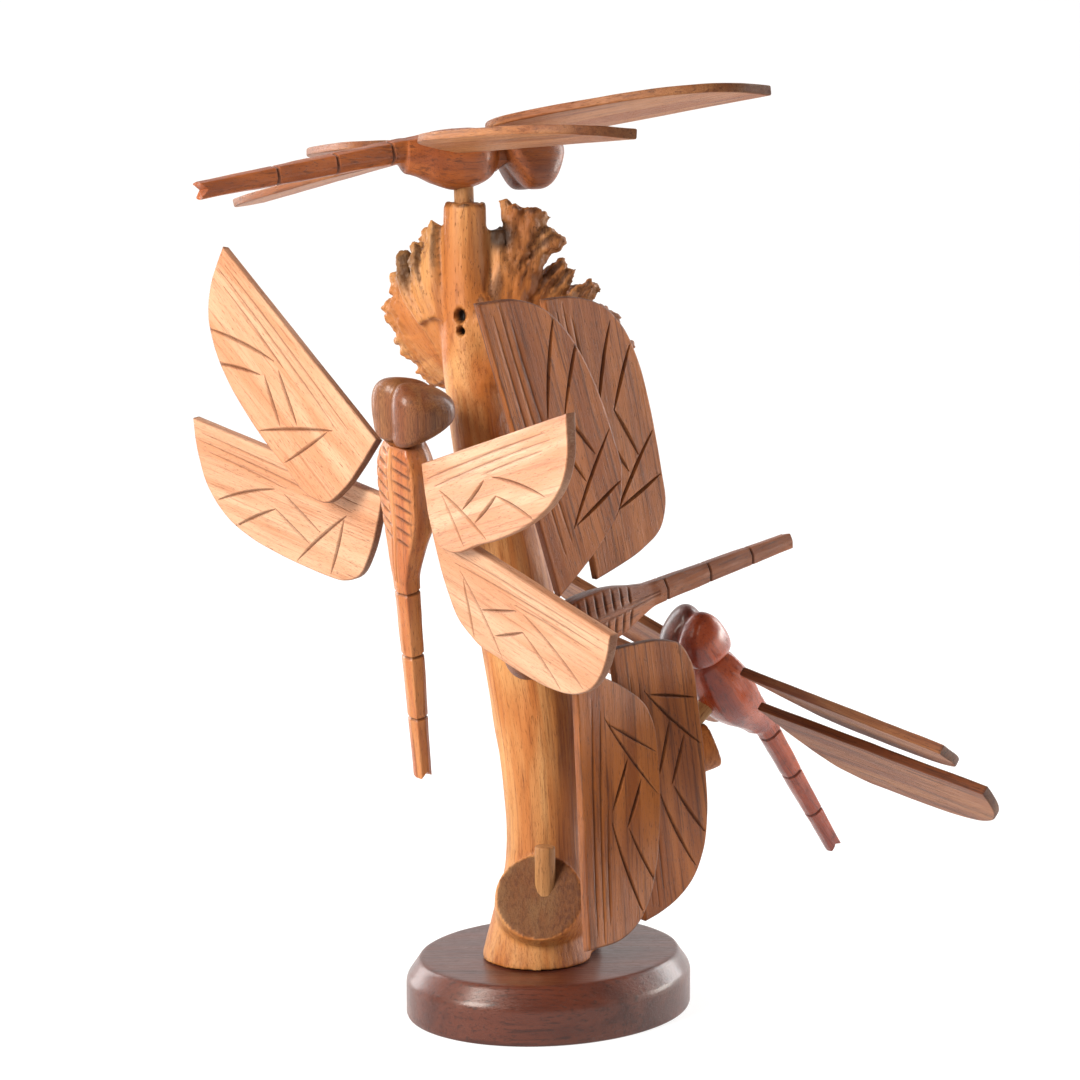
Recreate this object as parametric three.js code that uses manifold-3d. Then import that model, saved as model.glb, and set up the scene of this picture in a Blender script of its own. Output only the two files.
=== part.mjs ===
// Carved wooden ornament: four dragonflies pegged to a gnarled branch that flares into a ruffled burr.
// The branch stands on an oval plinth with a bevelled edge.
// Millimetres, +Z up, the viewer stands at -Y. The origin is the centre of the plinth's underside.
import * as THREE from "three";
import { mergeVertices } from "three/addons/utils/BufferGeometryUtils.js";
import Module from "manifold-3d";

const wasm = await Module();
wasm.setup();

const degrees = THREE.MathUtils.degToRad;

// Clearances between neighbouring pieces
const GAP = 0.3;
const WING_GAP = 0.5;
const SOCKET_FLOOR_GAP = 0.6;

// Points this close together are one point
const WELD = 1e-4;

// Facets that lie this close to one plane are joined
const FLATNESS = 0.05;

// Below this sine of the angle between them, two directions count as parallel
const NEARLY_PARALLEL = 0.2;

// Plinth: an oval disc, turned on the floor, with a bevelled upper edge
const PLINTH = {
  halfLength: 61.5, halfWidth: 52.5, turn: 36, height: 23.5, bevelIn: 6, bevelDown: 8.5, footBevel: 1.2,
};

// Numbers of facets along and around each form
const FACETS = {
  plinth: 32,
  branch: { along: 18, around: 12 },
  sideBranch: { along: 5, around: 8 },
  stump: { along: 1, around: 12 },
  skirt: 12,
  burr: 48,
  finger: { along: 4, around: 6 },
  web: { along: 4, around: 8 },
  knotHole: 6,
  head: { around: 8, down: 6 },
  tenon: 6,
  dowel: 8,
};

// Branch: points up its middle with the radius there
const BRANCH_LINE = [
  { at: [-1, 5, 24], radius: 23 },
  { at: [-2, 5, 40], radius: 20 },
  { at: [-2, 5, 60], radius: 16.5 },
  { at: [-3.5, 5, 94], radius: 15.6 },
  { at: [-6.5, 5, 127], radius: 17.2 },
  { at: [-14, 5, 169], radius: 16.2 },
  { at: [-21, 5, 210], radius: 14.6 },
  { at: [-26.5, 6, 238], radius: 13.4 },
  { at: [-31, 7, 271], radius: 12 },
  { at: [-33.7, 7, 300], radius: 9.3 },
  { at: [-33.7, 7, 330], radius: 8.4 },
];
// Swellings of the branch as a share of its radius, each with its waves around and along it
const KNOBS = [
  { share: 0.035, around: 3, along: 9 },
  { share: 0.035, around: 2, along: -17 },
];

// Root stump at the foot: a thick stub sawn off facing the viewer, and the low skirt that carries it
const STUMP = { from: [-2, 6, 34], to: [-4, -25, 53], radiusFrom: 21, radiusTo: 18 };
const SKIRT = { at: [-5, -8, 24], height: 26, radiusLow: 22.5, radiusHigh: 16 };
const ROOT_STUB = { at: [-1.8, -21, 58], radius: 4.2, below: 7, above: 15 };

// Side branch that carries the right-hand dragonfly
const SIDE_BRANCH = [
  { at: [0, 10, 78], radius: 11 },
  { at: [24, 22, 83], radius: 10 },
  { at: [48, 33, 94], radius: 9.8 },
  { at: [69, 37, 102], radius: 9.6 },
];

// Web of wood that closes the lower end of the gap between the column and the burr's free fingers
const WEB = [
  { at: [-27, 6, 258], radius: 12 },
  { at: [-21, 8, 288], radius: 9 },
  { at: [-19.5, 9, 303], radius: 5.5 },
  { at: [-21.5, 9.5, 319], radius: 4.4 },
];

// Burr: a fluted bowl behind the column, its hollow side turned away from the viewer.
// The rim is given by its reach from the bowl's middle at some angles, counted from +X towards +Z.
// Its depth grows with the power bowlCurve of the way out to the rim, that of its flutes with fluteCurve.
const BURR = {
  centre: [-18, 4, 280],
  depth: 26,
  bowlCurve: 1.7,
  wallCentre: 15,
  wallRim: 6,
  flutes: 14,
  fluteSwirl: 1.7,
  fluteDepth: 4.2,
  fluteCurve: 2,
  lobeReach: 2.4,
  rim: [
    [0, 48], [10, 38], [30, 31], [55, 26], [85, 26], [105, 35], [118, 47.5], [128, 49],
    [140, 47], [152, 47.5], [165, 48.5], [177, 48.5], [185, 45], [200, 42.5], [214, 41],
    [228, 38], [250, 36], [275, 36], [300, 38], [325, 42], [342, 49], [352, 54],
  ],
};
const BURR_RINGS = [0.12, 0.45, 0.75, 1];

// Fingers of burr wood that stand free on the upper right, each from its foot to its tip
const FINGERS = [
  { from: [-14, 7, 282], via: [-13.5, 8, 309], to: [-9.5, 9.5, 328], foot: 6.5, middle: 4.5, tip: 9 },
  { from: [-11, 9.5, 294], via: [-5, 11, 310], to: [3.6, 12, 317.4], foot: 5.5, middle: 5, tip: 4.8 },
  { from: [-9, 11, 286], via: [-1, 13, 298], to: [7, 14, 307], foot: 5.5, middle: 3.6, tip: 1.8 },
  { from: [-9, 11, 281], via: [2, 14, 293], to: [11, 15, 302.5], foot: 6.5, middle: 4, tip: 2.2 },
  { from: [-9, 11, 275], via: [7, 14, 286], to: [20.5, 15.5, 297.5], foot: 8, middle: 5.4, tip: 3.2 },
];

// Two knot holes in the column, seen from the front
const KNOT_HOLES = [
  { at: [-35.7, -5, 285.5], radius: 1.5, tall: 1.9 },
  { at: [-35.5, -5, 279.3], radius: 1.1, tall: 1.2 },
];
const KNOT_DEPTH = 9;

// Dragonfly body, along +X from the tail's tip to the head, back upwards
const TAIL_TIP = -126;
const TAIL_ROOT = -38;
const RING_CUT = 0.9;
const TAIL_HALF = { tip: 3.6, root: 5 };
// Side and width of the square notch that forks the tail's tip
const TAIL_FORK = { side: 5, wide: 20 };
const THORAX = [
  { x: -38, half: 5.2, up: 5.2, down: 5.2 },
  { x: -27, half: 7.6, up: 6.4, down: 6.4 },
  { x: -14, half: 11.2, up: 8, down: 8.8 },
  { x: 0, half: 13, up: 9, down: 10 },
  { x: 12, half: 12, up: 8.8, down: 9 },
  { x: 19, half: 8.6, up: 7.6, down: 7.2 },
];
const NECK = [
  { x: 22, half: 6.4, up: 5.8, down: 5.8 },
  { x: 25, half: 6.6, up: 6, down: 6 },
];
// The neck ends this far behind the head's middle
const NECK_SHORT = 1;
// Where the tail's rise above the body's axis begins to lift the thorax too
const LIFT_FROM = 8;
// Head: two lobes side by side, shorter below than above
const HEAD = { length: 11.5, half: 8.8, up: 10.5, apart: 5.4, taper: 0.3 };

// Outline of one section through tail or thorax, in parts of the half width, the rise and the drop
const SECTION = [
  [0.12, 1], [0.96, 0.76], [0.96, -0.3], [0.6, -0.86], [0, -1], [-0.6, -0.86], [-0.96, -0.3], [-0.96, 0.76],
  [-0.12, 1],
];

// Notches hatched across the back from beside the ridge to the shoulders, all slanting the same way
const HATCH = { count: 7, from: -19, to: 16, width: 1.5, depth: 0.9, slant: 2 };
const HATCH_ENDS = { ridge: [0.17, 0.985], shoulder: [0.9, 0.78] };
// Which way the slope between them faces on the left side
const SLOPE = [0, 0.19, 0.98];

// Where the leading corners of the wings meet the thorax, on its left side
const WING_ROOTS = { fore: { x: 15, y: 13.5, z: 2 }, hind: { x: -8, y: 13.5, z: 0 } };

// Tenons of the wings and the dowel that carries the body
const TENON = { radius: 3, reach: 8, inPlate: 9 };
const DOWEL_RADIUS = 4;
const DOWEL_TOP = -5;

// Wing blanks: outline in parts of span (from the root) and chord (from the leading edge)
const WING_ROOT = [[0.02, 0], [0.025, 0.3], [0.04, 0.62], [0.075, 0.86], [0.14, 0.965]];
const ROOT_LEAN = 0.115;
const WING_OUTLINE = {
  fore: [
    [0.3, 0.995], [0.38, 1], [0.53, 0.975], [0.68, 0.91], [0.8, 0.8],
    [0.9, 0.62], [0.96, 0.38], [0.985, 0.16], [1, 0],
  ],
  hind: [
    [0.3, 0.995], [0.4, 1], [0.56, 0.99], [0.7, 0.95], [0.82, 0.85],
    [0.91, 0.67], [0.965, 0.42], [0.99, 0.18], [1, 0],
  ],
};
// The worn edge keeps a share of the thickness. Each face is inset towards a point near the middle.
const WING_THICK = { leading: 4, trailing: 3.2, edge: 0.62, inset: 0.975, middle: [0.5, 0.45] };

// Veins: long lens-shaped gouge cuts in the upper face, each [span, chord] to [span, chord]
const VEINS = [
  [[0.21, 0.39], [0.26, 0.94]],
  [[0.2, 0.34], [0.42, 0.95]],
  [[0.33, 0.58], [0.51, 0.37]],
  [[0.38, 0.76], [0.55, 0.54]],
  [[0.56, 0.56], [0.76, 0.89]],
  [[0.57, 0.37], [0.86, 0.7]],
];
const VEIN_WIDTH = 1.7;
const VEIN_DEPTH = 1.1;

// Where each dragonfly sits and how it is turned: yaw about +Z, rise of the head, roll about its length.
// The body is stretched by its own factors in length, width, rise and drop. The waist draws in the back half
// of the thorax. The tail has its own droop, turn, length and ring cuts.
// Each wing has its own sweep from straight ahead, lift above the back's plane, twist, span and chord.
const DRAGONFLIES = [
  {
    name: "top",
    at: [-37.4, 7.4, 350.9],
    yaw: 27.4, rise: 0.1, roll: -3.2, stretch: [0.75, 0.95, 0.95, 1.65],
    headSize: [1.12, 0.95, 0.95], headX: 32, headDrop: 6,
    waist: 0.895, dowel: { x: 3, length: 28 },
    tail: { droop: 8.5, turn: 9.3, stretch: 1.05, rise: -0.5, rings: [-93.4, -67.3, -42.5] },
    wings: {
      right_forewing: { sweep: 59.1, lift: 8.4, twist: 6.3, span: 124.6, chord: 40.9, lean: 0.8 },
      left_forewing: { sweep: 87.1, lift: -0.9, twist: 2.5, span: 124, chord: 41.2, lean: 0.8 },
      right_hindwing: { sweep: 83.2, lift: 0.8, twist: 6.3, span: 122, chord: 35, lean: 0.8 },
      left_hindwing: { sweep: 101.1, lift: -8.1, twist: -8.8, span: 122.7, chord: 34.5, lean: 0.8 },
    },
  },
  {
    name: "left",
    at: [-55.6, -24.6, 219.1],
    yaw: -98.8, rise: 77, roll: 133.3, stretch: [1, 1.08, 1, 1],
    headSize: [1, 1.19, 1.14], headX: 32.5, headDrop: 4,
    waist: 1, dowel: { x: 0, length: 47 },
    tail: { droop: 2, turn: -0.6, stretch: 1, rise: 3, rings: [-99, -71, -43] },
    wings: {
      right_forewing: { sweep: 64.7, lift: 3.6, twist: 5.3, span: 125.5, chord: 37.4, lean: -0.6 },
      left_forewing: { sweep: 64.3, lift: 0.8, twist: 23, span: 129, chord: 43, lean: -0.25 },
      right_hindwing: { sweep: 93.3, lift: 0.7, twist: 1.6, span: 126, chord: 40, lean: 1.15 },
      left_hindwing: { sweep: 88.3, lift: 8.3, twist: 3.6, span: 128, chord: 46, lean: 0.6 },
    },
  },
  {
    name: "middle",
    at: [15.6, -19.1, 165.3],
    yaw: -140.3, rise: -12.6, roll: -84.9, stretch: [0.92, 0.92, 0.92, 0.92],
    headSize: [0.92, 0.92, 0.92], headX: 30.5, headDrop: 3,
    waist: 1, dowel: { x: 0, length: 34 },
    tail: { droop: 0, turn: -2.5, stretch: 0.87, rise: 0, rings: [-99, -71, -43] },
    wings: {
      right_forewing: { sweep: 82.4, lift: 6.6, twist: 5.3, span: 129, chord: 44.9, lean: 1.15 },
      left_forewing: { sweep: 65.2, lift: 16.7, twist: 0.9, span: 116, chord: 42, lean: 0.5 },
      right_hindwing: { sweep: 89.6, lift: 4.2, twist: 3.5, span: 119, chord: 42.4, lean: 0.3 },
      left_hindwing: { sweep: 85.8, lift: -4.1, twist: 5.1, span: 119.6, chord: 40, lean: 0 },
    },
  },
  {
    name: "right",
    at: [74.1, 45.8, 126.8],
    yaw: -127.3, rise: 45.3, roll: -15.7, stretch: [0.97, 1.05, 0.97, 1.5],
    headSize: [0.98, 0.98, 0.98], headX: 31.5, headDrop: 1,
    waist: 1, dowel: { x: 0, length: 27 },
    tail: { droop: 3, turn: 0, stretch: 1, rise: 4.5, rings: [-99, -71, -43] },
    wings: {
      right_forewing: { sweep: 79, lift: 0, twist: 5, span: 124, chord: 41, lean: 1 },
      left_forewing: { sweep: 82.9, lift: 0.3, twist: 17.4, span: 123, chord: 40, lean: 0.8 },
      right_hindwing: { sweep: 94, lift: 0, twist: 0, span: 122, chord: 41, lean: 0.5 },
      left_hindwing: { sweep: 86.2, lift: 2.9, twist: 6.9, span: 129, chord: 43, lean: 1.05 },
    },
  },
];

// Finishes
const FINISH = {
  plinth: new THREE.MeshStandardMaterial({ color: 0x5a3020, roughness: 0.4, metalness: 0 }),
  branch: new THREE.MeshStandardMaterial({ color: 0xb9783f, roughness: 0.6, metalness: 0 }),
  body: new THREE.MeshStandardMaterial({ color: 0x9a5a30, roughness: 0.5, metalness: 0 }),
  wing: new THREE.MeshStandardMaterial({ color: 0xa9713f, roughness: 0.55, metalness: 0 }),
  dowel: new THREE.MeshStandardMaterial({ color: 0xcf9a63, roughness: 0.6, metalness: 0 }),
};

// Solids from closed meshes, and back

function toSolid(geometry) {
  const bare = new THREE.BufferGeometry();
  bare.setAttribute("position", geometry.getAttribute("position"));
  if (geometry.index) {
    bare.setIndex(geometry.index);
  }
  const merged = mergeVertices(bare, WELD);
  const vertProperties = new Float32Array(merged.getAttribute("position").array);
  const triVerts = new Uint32Array(merged.index.array);
  return new wasm.Manifold(new wasm.Mesh({ numProp: 3, vertProperties, triVerts }));
}

function toGeometry(solid) {
  const mesh = solid.asOriginal().simplify(FLATNESS).getMesh();
  const geometry = new THREE.BufferGeometry();
  geometry.setAttribute("position", new THREE.BufferAttribute(new Float32Array(mesh.vertProperties), 3));
  geometry.setIndex(new THREE.BufferAttribute(new Uint32Array(mesh.triVerts), 1));
  geometry.computeVertexNormals();
  return geometry;
}

function unite(solids) {
  return solids.reduce((sum, solid) => sum.add(solid));
}

function moved(geometry, matrix) {
  return toSolid(geometry.clone().applyMatrix4(matrix));
}

// A closed skin over a row of rings with equal point counts, capped at both ends
function loft(rings) {
  const sides = rings[0].length;
  const points = rings.flat();
  const lastRing = (rings.length - 1) * sides;
  const faces = [];
  for (let ring = 0; ring < rings.length - 1; ring += 1) {
    for (let side = 0; side < sides; side += 1) {
      const next = (side + 1) % sides;
      const a = ring * sides + side;
      const b = ring * sides + next;
      faces.push([a, b, b + sides], [a, b + sides, a + sides]);
    }
  }
  const middle = (ring) => ring.reduce((sum, p) => sum.add(p), new THREE.Vector3()).divideScalar(sides);
  points.push(middle(rings[0]), middle(rings[rings.length - 1]));
  for (let side = 0; side < sides; side += 1) {
    const next = (side + 1) % sides;
    faces.push([points.length - 2, next, side]);
    faces.push([points.length - 1, lastRing + side, lastRing + next]);
  }
  const volume = faces.reduce((sum, [a, b, c]) => {
    return sum + points[a].dot(new THREE.Vector3().crossVectors(points[b], points[c]));
  }, 0);
  const outward = volume < 0 ? faces.map(([a, b, c]) => [a, c, b]) : faces;
  const geometry = new THREE.BufferGeometry().setFromPoints(points);
  geometry.setIndex(outward.flat());
  return geometry;
}

// A round limb along a smooth line, with a radius at each of its points
function limb(stations, { along: steps, around: sides }, knobs = []) {
  const line = new THREE.CatmullRomCurve3(stations.map((station) => new THREE.Vector3(...station.at)));
  const frames = line.computeFrenetFrames(steps, false);
  const rings = [];
  for (let step = 0; step <= steps; step += 1) {
    const along = step / steps;
    const place = line.getPoint(along);
    const slot = along * (stations.length - 1);
    const below = Math.min(Math.floor(slot), stations.length - 2);
    const radius = THREE.MathUtils.lerp(stations[below].radius, stations[below + 1].radius, slot - below);
    const tangent = line.getTangent(along);
    const across = new THREE.Vector3(0, 1, 0).cross(tangent);
    if (across.length() < NEARLY_PARALLEL) {
      across.copy(frames.normals[step]);
    }
    across.normalize();
    const onward = new THREE.Vector3().crossVectors(tangent, across);
    const ring = [];
    for (let side = 0; side < sides; side += 1) {
      const angle = (2 * Math.PI * side) / sides;
      const swell = knobs.reduce((sum, knob) => {
        return sum + knob.share * Math.sin(knob.around * angle + knob.along * along);
      }, 1);
      const point = place.clone();
      point.addScaledVector(across, radius * swell * Math.cos(angle));
      point.addScaledVector(onward, radius * swell * Math.sin(angle));
      ring.push(point);
    }
    rings.push(ring);
  }
  return loft(rings);
}

// A round pin between two points of its own frame
function pin(from, to, radius, sides = FACETS.dowel) {
  const start = new THREE.Vector3(...from);
  const end = new THREE.Vector3(...to);
  const geometry = new THREE.CylinderGeometry(radius, radius, start.distanceTo(end), sides);
  const turn = new THREE.Quaternion();
  turn.setFromUnitVectors(new THREE.Vector3(0, 1, 0), end.clone().sub(start).normalize());
  const middle = start.clone().lerp(end, 0.5);
  return geometry.applyMatrix4(new THREE.Matrix4().compose(middle, turn, new THREE.Vector3(1, 1, 1)));
}

// A lens-shaped gouge cut: a long thin double wedge whose middle lies on the surface
function gouge(from, to, outward, width, depth) {
  const along = to.clone().sub(from);
  const length = along.length();
  along.normalize();
  const out = outward.clone().addScaledVector(along, -outward.dot(along)).normalize();
  const side = new THREE.Vector3().crossVectors(out, along);
  const basis = new THREE.Matrix4().makeBasis(along, side, out);
  basis.setPosition(from.clone().lerp(to, 0.5));
  const wedge = new THREE.OctahedronGeometry(1, 0);
  wedge.scale(length / 2, width / 2, depth);
  return wedge.applyMatrix4(basis);
}

// Plinth

function plinth() {
  const { halfLength, height, bevelIn, bevelDown, footBevel } = PLINTH;
  const profile = [
    [0, 0],
    [halfLength - footBevel, 0],
    [halfLength, footBevel],
    [halfLength, height - bevelDown],
    [halfLength - bevelIn, height],
    [0, height],
  ];
  const outline = profile.map(([radius, z]) => new THREE.Vector2(radius, z));
  const disc = new THREE.LatheGeometry(outline, FACETS.plinth);
  disc.rotateX(Math.PI / 2);
  disc.scale(1, PLINTH.halfWidth / halfLength, 1);
  disc.rotateZ(degrees(PLINTH.turn));
  return toSolid(disc);
}

// Branch with burr

function rimReach(angle) {
  const rim = BURR.rim;
  const turn = ((angle % 360) + 360) % 360;
  const wrapped = [...rim, [rim[0][0] + 360, rim[0][1]]];
  for (let index = 0; index < rim.length; index += 1) {
    const [from, near] = wrapped[index];
    const [to, far] = wrapped[index + 1];
    if (turn >= from && turn <= to) {
      return THREE.MathUtils.lerp(near, far, THREE.MathUtils.smoothstep(turn, from, to));
    }
  }
  return rim[0][1];
}

function burrBowl() {
  const centre = new THREE.Vector3(...BURR.centre);
  const ringAt = (part, wall) => {
    const ring = [];
    for (let spoke = 0; spoke < FACETS.burr; spoke += 1) {
      const turn = (360 * spoke) / FACETS.burr;
      const swirl = BURR.fluteSwirl * Math.sin(degrees(2 * turn));
      const wave = Math.sin(degrees(turn * BURR.flutes) + swirl);
      const reach = part * (rimReach(turn) + BURR.lobeReach * part * wave);
      const depth = BURR.depth * part ** BURR.bowlCurve + BURR.fluteDepth * part ** BURR.fluteCurve * wave;
      const point = new THREE.Vector3(reach, 0, 0).applyAxisAngle(new THREE.Vector3(0, 1, 0), -degrees(turn));
      point.y = depth + wall;
      ring.push(point.add(centre));
    }
    return ring;
  };
  const wallAt = (part) => THREE.MathUtils.lerp(BURR.wallCentre, BURR.wallRim, part);
  const front = BURR_RINGS.map((part) => ringAt(part, 0));
  const back = [...BURR_RINGS].reverse().map((part) => ringAt(part, wallAt(part)));
  return toSolid(loft([...front, ...back]));
}

function finger({ from, via, to, foot, middle, tip }) {
  const stations = [
    { at: from, radius: foot },
    { at: via, radius: middle },
    { at: to, radius: tip },
  ];
  return toSolid(limb(stations, FACETS.finger));
}

function branch(sockets) {
  const trunk = toSolid(limb(BRANCH_LINE, FACETS.branch, KNOBS));
  const side = toSolid(limb(SIDE_BRANCH, FACETS.sideBranch, KNOBS));
  const stump = toSolid(limb([
    { at: STUMP.from, radius: STUMP.radiusFrom },
    { at: STUMP.to, radius: STUMP.radiusTo },
  ], FACETS.stump));
  const skirt = new THREE.CylinderGeometry(SKIRT.radiusHigh, SKIRT.radiusLow, SKIRT.height, FACETS.skirt);
  skirt.rotateX(Math.PI / 2);
  skirt.translate(SKIRT.at[0], SKIRT.at[1], SKIRT.at[2] + SKIRT.height / 2);
  const web = toSolid(limb(WEB, FACETS.web));
  let solid = unite([trunk, side, stump, toSolid(skirt), web, burrBowl(), ...FINGERS.map(finger)]);
  for (const hole of KNOT_HOLES) {
    const bore = new THREE.CylinderGeometry(hole.radius, hole.radius, KNOT_DEPTH, FACETS.knotHole);
    bore.scale(1, 1, hole.tall);
    bore.translate(...hole.at);
    solid = solid.subtract(toSolid(bore));
  }
  const floor = PLINTH.height + GAP;
  solid = solid.trimByPlane([0, 0, 1], floor);
  for (const socket of sockets) {
    solid = solid.subtract(socket);
  }
  return solid;
}

// Dragonfly body

function bodyRing({ x, half, up, down }, grow = 0) {
  return SECTION.map(([y, z]) => {
    const rise = z > 0 ? up : down;
    return new THREE.Vector3(x, y * (half + grow), z * (rise + grow));
  });
}

// Scales a ring of the body for one dragonfly. The thorax is lifted towards the tail, whose root sits above
// the body's axis. The tail has its own length and leaves the thorax at an angle.
function shapeRing(ring, fly) {
  const { stretch, waist, tail } = fly;
  const bend = new THREE.Euler(0, degrees(-tail.droop), degrees(tail.turn));
  const tailRoot = new THREE.Vector3(TAIL_ROOT * stretch[0] * waist, 0, tail.rise);
  return ring.map((point) => {
    if (point.x >= TAIL_ROOT) {
      const lift = tail.rise * THREE.MathUtils.smoothstep(-point.x, LIFT_FROM, -TAIL_ROOT);
      const long = point.x < 0 ? stretch[0] * waist : stretch[0];
      const tall = point.z > 0 ? stretch[2] : stretch[3];
      return new THREE.Vector3(point.x * long, point.y * stretch[1], point.z * tall + lift);
    }
    const behind = new THREE.Vector3((point.x - TAIL_ROOT) * tail.stretch, point.y, point.z);
    return behind.applyEuler(bend).add(tailRoot);
  });
}

function bodyStations(fly) {
  const tailHalf = (x) => THREE.MathUtils.mapLinear(x, TAIL_TIP, TAIL_ROOT, TAIL_HALF.tip, TAIL_HALF.root);
  const tailStation = (x, less) => {
    const half = tailHalf(x) - less;
    return { x, half, up: half, down: half };
  };
  const stations = [tailStation(TAIL_TIP, 0)];
  for (const x of fly.tail.rings) {
    stations.push(tailStation(x - RING_CUT, 0), tailStation(x, RING_CUT), tailStation(x + RING_CUT, 0));
  }
  const neckEnd = { ...NECK[1], x: fly.headX / fly.stretch[0] - NECK_SHORT };
  return [...stations, ...THORAX, ...NECK, neckEnd];
}

function bodyCore(fly, grow) {
  const rings = bodyStations(fly).map((station) => shapeRing(bodyRing(station, grow), fly));
  return toSolid(loft(rings));
}

function headLobes(fly) {
  return [-1, 1].map((side) => {
    const lobe = new THREE.SphereGeometry(1, FACETS.head.around, FACETS.head.down);
    lobe.rotateX(Math.PI / 2);
    const points = lobe.getAttribute("position");
    for (let index = 0; index < points.count; index += 1) {
      points.setX(index, points.getX(index) * (1 + HEAD.taper * points.getZ(index)));
    }
    lobe.scale(HEAD.length, HEAD.half, HEAD.up);
    lobe.translate(0, side * HEAD.apart, 0);
    lobe.scale(...fly.headSize);
    lobe.translate(fly.headX, 0, -fly.headDrop);
    return toSolid(lobe);
  });
}

function thoraxAt(x) {
  const after = THORAX.findIndex((station) => station.x >= x);
  const [low, high] = [THORAX[after - 1], THORAX[after]];
  const between = (key) => THREE.MathUtils.mapLinear(x, low.x, high.x, low[key], high[key]);
  return { half: between("half"), up: between("up") };
}

function hatchCuts(fly) {
  const cuts = [];
  const { ridge, shoulder } = HATCH_ENDS;
  for (let index = 0; index < HATCH.count; index += 1) {
    const x = THREE.MathUtils.lerp(HATCH.from, HATCH.to, index / (HATCH.count - 1));
    const { half, up } = thoraxAt(x);
    for (const side of [-1, 1]) {
      const [inner, outer] = shapeRing([
        new THREE.Vector3(x, side * ridge[0] * half, ridge[1] * up),
        new THREE.Vector3(x + side * HATCH.slant, side * shoulder[0] * half, shoulder[1] * up),
      ], fly);
      const outward = new THREE.Vector3(SLOPE[0], side * SLOPE[1], SLOPE[2]);
      cuts.push(toSolid(gouge(inner, outer, outward, HATCH.width, HATCH.depth)));
    }
  }
  return cuts;
}

function wingSeat(fly, key) {
  const wing = fly.wings[key];
  const side = key.startsWith("left") ? 1 : -1;
  const fore = key.endsWith("forewing");
  const sweep = degrees(wing.sweep);
  const lift = degrees(wing.lift);
  const back = new THREE.Vector3(0, 0, 1);
  const along = new THREE.Vector3(
    Math.cos(sweep),
    side * Math.sin(sweep) * Math.cos(lift),
    Math.sin(sweep) * Math.sin(lift),
  );
  const upward = back.addScaledVector(along, -back.dot(along)).normalize();
  const trailing = new THREE.Vector3().crossVectors(upward, along).multiplyScalar(side);
  const twist = degrees(wing.twist);
  const chordwise = trailing.multiplyScalar(Math.cos(twist)).addScaledVector(upward, Math.sin(twist));
  const normal = new THREE.Vector3().crossVectors(along, chordwise).multiplyScalar(side);
  const seat = fore ? WING_ROOTS.fore : WING_ROOTS.hind;
  const [long, wide] = fly.stretch;
  const root = new THREE.Vector3(seat.x * long, side * seat.y * wide, seat.z);
  return { wing, fore, along, chordwise, normal, root };
}

function tenonPin(seat, radius, beyond) {
  const inner = seat.root.clone().addScaledVector(seat.along, -TENON.reach - beyond);
  const outer = seat.root.clone().addScaledVector(seat.along, TENON.inPlate);
  inner.addScaledVector(seat.chordwise, TENON.radius);
  outer.addScaledVector(seat.chordwise, TENON.radius);
  return toSolid(pin(inner.toArray(), outer.toArray(), radius, FACETS.tenon));
}

function wingSolid(fly, key, keepOut) {
  const seat = wingSeat(fly, key);
  const { wing, along, chordwise, normal, root } = seat;
  const kind = seat.fore ? "fore" : "hind";
  const leaning = WING_ROOT.map(([span, chord]) => [span + ROOT_LEAN * wing.lean * chord, chord]);
  const outline = [...leaning, ...WING_OUTLINE[kind]];
  const place = (span, chord, height) => root.clone()
    .addScaledVector(along, span * wing.span)
    .addScaledVector(chordwise, chord * wing.chord)
    .addScaledVector(normal, height);
  const halfThick = (chord) => THREE.MathUtils.lerp(WING_THICK.leading, WING_THICK.trailing, chord) / 2;
  const ring = (inset, part) => outline.map(([span, chord]) => {
    const spanIn = THREE.MathUtils.lerp(WING_THICK.middle[0], span, inset);
    const chordIn = THREE.MathUtils.lerp(WING_THICK.middle[1], chord, inset);
    return place(spanIn, chordIn, part * halfThick(chordIn));
  });
  const { edge, inset } = WING_THICK;
  let solid = toSolid(loft([ring(inset, -1), ring(1, -edge), ring(1, edge), ring(inset, 1)]));
  for (const [from, to] of VEINS) {
    const start = place(from[0], from[1], halfThick(from[1]));
    const end = place(to[0], to[1], halfThick(to[1]));
    solid = solid.subtract(toSolid(gouge(start, end, normal, VEIN_WIDTH, VEIN_DEPTH)));
  }
  return solid.subtract(keepOut).add(tenonPin(seat, TENON.radius, 0));
}

function dowelPin(fly, radius, beyond) {
  const { x, length } = fly.dowel;
  return pin([x, 0, DOWEL_TOP + beyond], [x, 0, -length - beyond], radius);
}

function bodySolid(fly) {
  let solid = unite([bodyCore(fly, 0), ...headLobes(fly)]);
  const fork = new THREE.BoxGeometry(TAIL_FORK.side, TAIL_FORK.wide, TAIL_FORK.side);
  fork.rotateY(Math.PI / 4);
  const [tip] = shapeRing([new THREE.Vector3(TAIL_TIP, 0, 0)], fly);
  fork.translate(tip.x, tip.y, tip.z);
  solid = solid.subtract(toSolid(fork));
  for (const cut of hatchCuts(fly)) {
    solid = solid.subtract(cut);
  }
  for (const key of Object.keys(fly.wings)) {
    solid = solid.subtract(tenonPin(wingSeat(fly, key), TENON.radius + GAP, SOCKET_FLOOR_GAP));
  }
  return solid.subtract(toSolid(dowelPin(fly, DOWEL_RADIUS + GAP, SOCKET_FLOOR_GAP)));
}

// Assembly

const carving = new THREE.Group();

function addMesh(parent, name, solid, finish) {
  const mesh = new THREE.Mesh(toGeometry(solid), finish);
  mesh.name = name;
  parent.add(mesh);
}

function flyGroup(fly) {
  const group = new THREE.Group();
  group.position.set(...fly.at);
  group.rotation.set(degrees(fly.roll), degrees(-fly.rise), degrees(fly.yaw), "ZYX");
  group.updateMatrixWorld(true);
  return group;
}

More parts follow.
